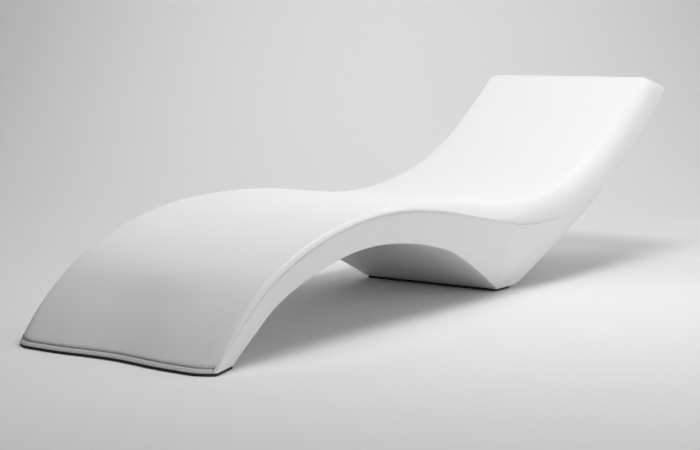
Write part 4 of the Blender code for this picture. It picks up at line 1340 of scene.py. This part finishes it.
def make_soft_box(name, place, aim, width, depth, power):
    """A rectangular lamp that the camera doesn't see."""
    light = bpy.data.lights.new(name, "AREA")
    light.shape = "RECTANGLE"
    light.size = width
    light.size_y = depth
    light.energy = power
    lamp = bpy.data.objects.new(name, light)
    bpy.context.scene.collection.objects.link(lamp)
    lamp.location = place
    lamp.rotation_mode = "QUATERNION"
    lamp.rotation_quaternion = (Vector(aim) - Vector(place)).to_track_quat("-Z", "Y")
    lamp.visible_camera = False


def make_camera(stage):
    """The camera that matches the photo."""
    camera = bpy.data.cameras.new("camera")
    camera.sensor_fit = "HORIZONTAL"
    camera.sensor_width = SENSOR_WIDTH
    camera.lens = stage.camera_lens
    camera.clip_start = CLIP_NEAR
    camera.clip_end = CLIP_FAR
    made = bpy.data.objects.new("camera", camera)
    bpy.context.scene.collection.objects.link(made)
    made.location = stage.camera_place
    made.rotation_mode = "QUATERNION"
    made.rotation_quaternion = Vector(stage.camera_aim).to_track_quat("-Z", "Y")
    bpy.context.scene.camera = made


def make_air(stage):
    """Faint even light from all round."""
    world = bpy.data.worlds.new("studio air")
    world.use_nodes = True
    background = world.node_tree.nodes["Background"]
    background.inputs["Color"].default_value = (1.0, 1.0, 1.0, 1.0)
    background.inputs["Strength"].default_value = stage.air_strength
    bpy.context.scene.world = world


# Operators

class LOUNGER_OT_shell(bpy.types.Operator):
    """Build the hollow white moulding."""
    bl_idname = "lounger.shell"
    bl_label = "Shell"

    def execute(self, context):
        shell = make_shell(Moulding(context.scene.lounger_shape))
        show(shell, "white_shell", "lounger", "shell")
        return {"FINISHED"}


class LOUNGER_OT_toe_strip(bpy.types.Operator):
    """Build the pale strip in the toe's channel."""
    bl_idname = "lounger.toe_strip"
    bl_label = "Toe strip"

    def execute(self, context):
        strip = make_toe_strip(Moulding(context.scene.lounger_shape))
        show(strip, "pale_strip", "lounger", "toe_strip")
        return {"FINISHED"}


class LOUNGER_OT_shoes(bpy.types.Operator):
    """Build the rubber shoes under the toe and the heel."""
    bl_idname = "lounger.shoes"
    bl_label = "Rubber shoes"

    def execute(self, context):
        moulding = Moulding(context.scene.lounger_shape)
        for end, plan, tongue in (
                ("front", moulding.front_outline(SHOE_INSET), moulding.front_tongue(0.0)),
                ("rear", moulding.rear_outline(SHOE_INSET), moulding.rear_outline(TONGUE_INSET))):
            shoe = make_shoe(f"{end}_shoe_rubber", plan, tongue, screw_places(end))
            show(shoe, "black_rubber", "lounger", f"{end}_shoe")
        return {"FINISHED"}


class LOUNGER_OT_fixings(bpy.types.Operator):
    """Build the shoe screws and washers, and finish the threaded inserts."""
    bl_idname = "lounger.fixings"
    bl_label = "Screws, washers and inserts"

    def execute(self, context):
        for end in ("front", "rear"):
            for number, (x, y) in enumerate(screw_places(end), start=1):
                screw = make_screw(f"{end}_shoe_screw_{number}", x, y)
                show(screw, "screw_steel", "lounger", f"{end}_screw_{number}")
                washer = make_washer(f"{end}_shoe_washer_{number}", x, y)
                show(washer, "screw_steel", "lounger", f"{end}_washer_{number}")
                insert = frame["nodes"][f"{end}_insert_{number}"]
                insert.data.materials.clear()
                insert.data.materials.append(finish_for("insert_brass"))
        return {"FINISHED"}


class LOUNGER_OT_filler(bpy.types.Operator):
    """Build the ballast filler: neck, screw plug and seal."""
    bl_idname = "lounger.filler"
    bl_label = "Ballast filler"

    def execute(self, context):
        show(make_filler_neck(), "grey_fitting", "lounger", "filler_neck")
        show(make_filler_plug(), "grey_fitting", "screw_plug", "filler_plug")
        show(make_plug_seal(), "black_rubber", "travelling_seal", "plug_seal")
        return {"FINISHED"}


class LOUNGER_OT_vent_plug(bpy.types.Operator):
    """Build the push-in plug of the moulding vent."""
    bl_idname = "lounger.vent_plug"
    bl_label = "Vent plug"

    def execute(self, context):
        plug = make_vent_plug(Moulding(context.scene.lounger_shape))
        show(plug, "grey_fitting", "lounger", "vent_plug")
        return {"FINISHED"}


class LOUNGER_OT_stage(bpy.types.Operator):
    """Set up the sweep, the lights and the camera."""
    bl_idname = "lounger.stage"
    bl_label = "Stage"

    def execute(self, context):
        stage = context.scene.lounger_stage
        make_camera(stage)
        make_floor(stage)
        make_air(stage)
        for name, place, aim, width, depth in SOFT_BOXES:
            make_soft_box(f"{name} soft box", place, aim, width, depth, getattr(stage, f"{name}_power"))
        context.scene.view_settings.view_transform = "Standard"
        return {"FINISHED"}


class LOUNGER_PT_panel(bpy.types.Panel):
    """Lists the pieces of the lounger and their sizes."""
    bl_idname = "LOUNGER_PT_panel"
    bl_label = "Sun Lounger"
    bl_space_type = "VIEW_3D"
    bl_region_type = "UI"
    bl_category = "Lounger"

    def draw(self, context):
        layout = self.layout
        scene = context.scene
        for heading, settings in (("Sizes", scene.lounger_shape), ("Finishes", scene.lounger_finish),
                                  ("Stage", scene.lounger_stage)):
            column = layout.box().column()
            column.label(text=heading)
            for name in settings.__annotations__:
                column.prop(settings, name)
        for operator in OPERATORS:
            layout.operator(operator.bl_idname)


OPERATORS = (
    LOUNGER_OT_shell,
    LOUNGER_OT_toe_strip,
    LOUNGER_OT_shoes,
    LOUNGER_OT_fixings,
    LOUNGER_OT_filler,
    LOUNGER_OT_vent_plug,
    LOUNGER_OT_stage,
)
GROUPS = {"lounger_shape": LoungerShape, "lounger_finish": LoungerFinish, "lounger_stage": LoungerStage}


def register():
    for group in GROUPS.values():
        bpy.utils.register_class(group)
    for name, group in GROUPS.items():
        setattr(bpy.types.Scene, name, PointerProperty(type=group))
    for operator in OPERATORS:
        bpy.utils.register_class(operator)
    bpy.utils.register_class(LOUNGER_PT_panel)


def unregister():
    bpy.utils.unregister_class(LOUNGER_PT_panel)
    for operator in reversed(OPERATORS):
        bpy.utils.unregister_class(operator)
    for name in GROUPS:
        delattr(bpy.types.Scene, name)
    for group in reversed(list(GROUPS.values())):
        bpy.utils.unregister_class(group)


def main():
    register()
    bpy.ops.lounger.shell()
    bpy.ops.lounger.toe_strip()
    bpy.ops.lounger.shoes()
    bpy.ops.lounger.fixings()
    bpy.ops.lounger.filler()
    bpy.ops.lounger.vent_plug()
    bpy.ops.lounger.stage()


if __name__ == "__main__":
    main()
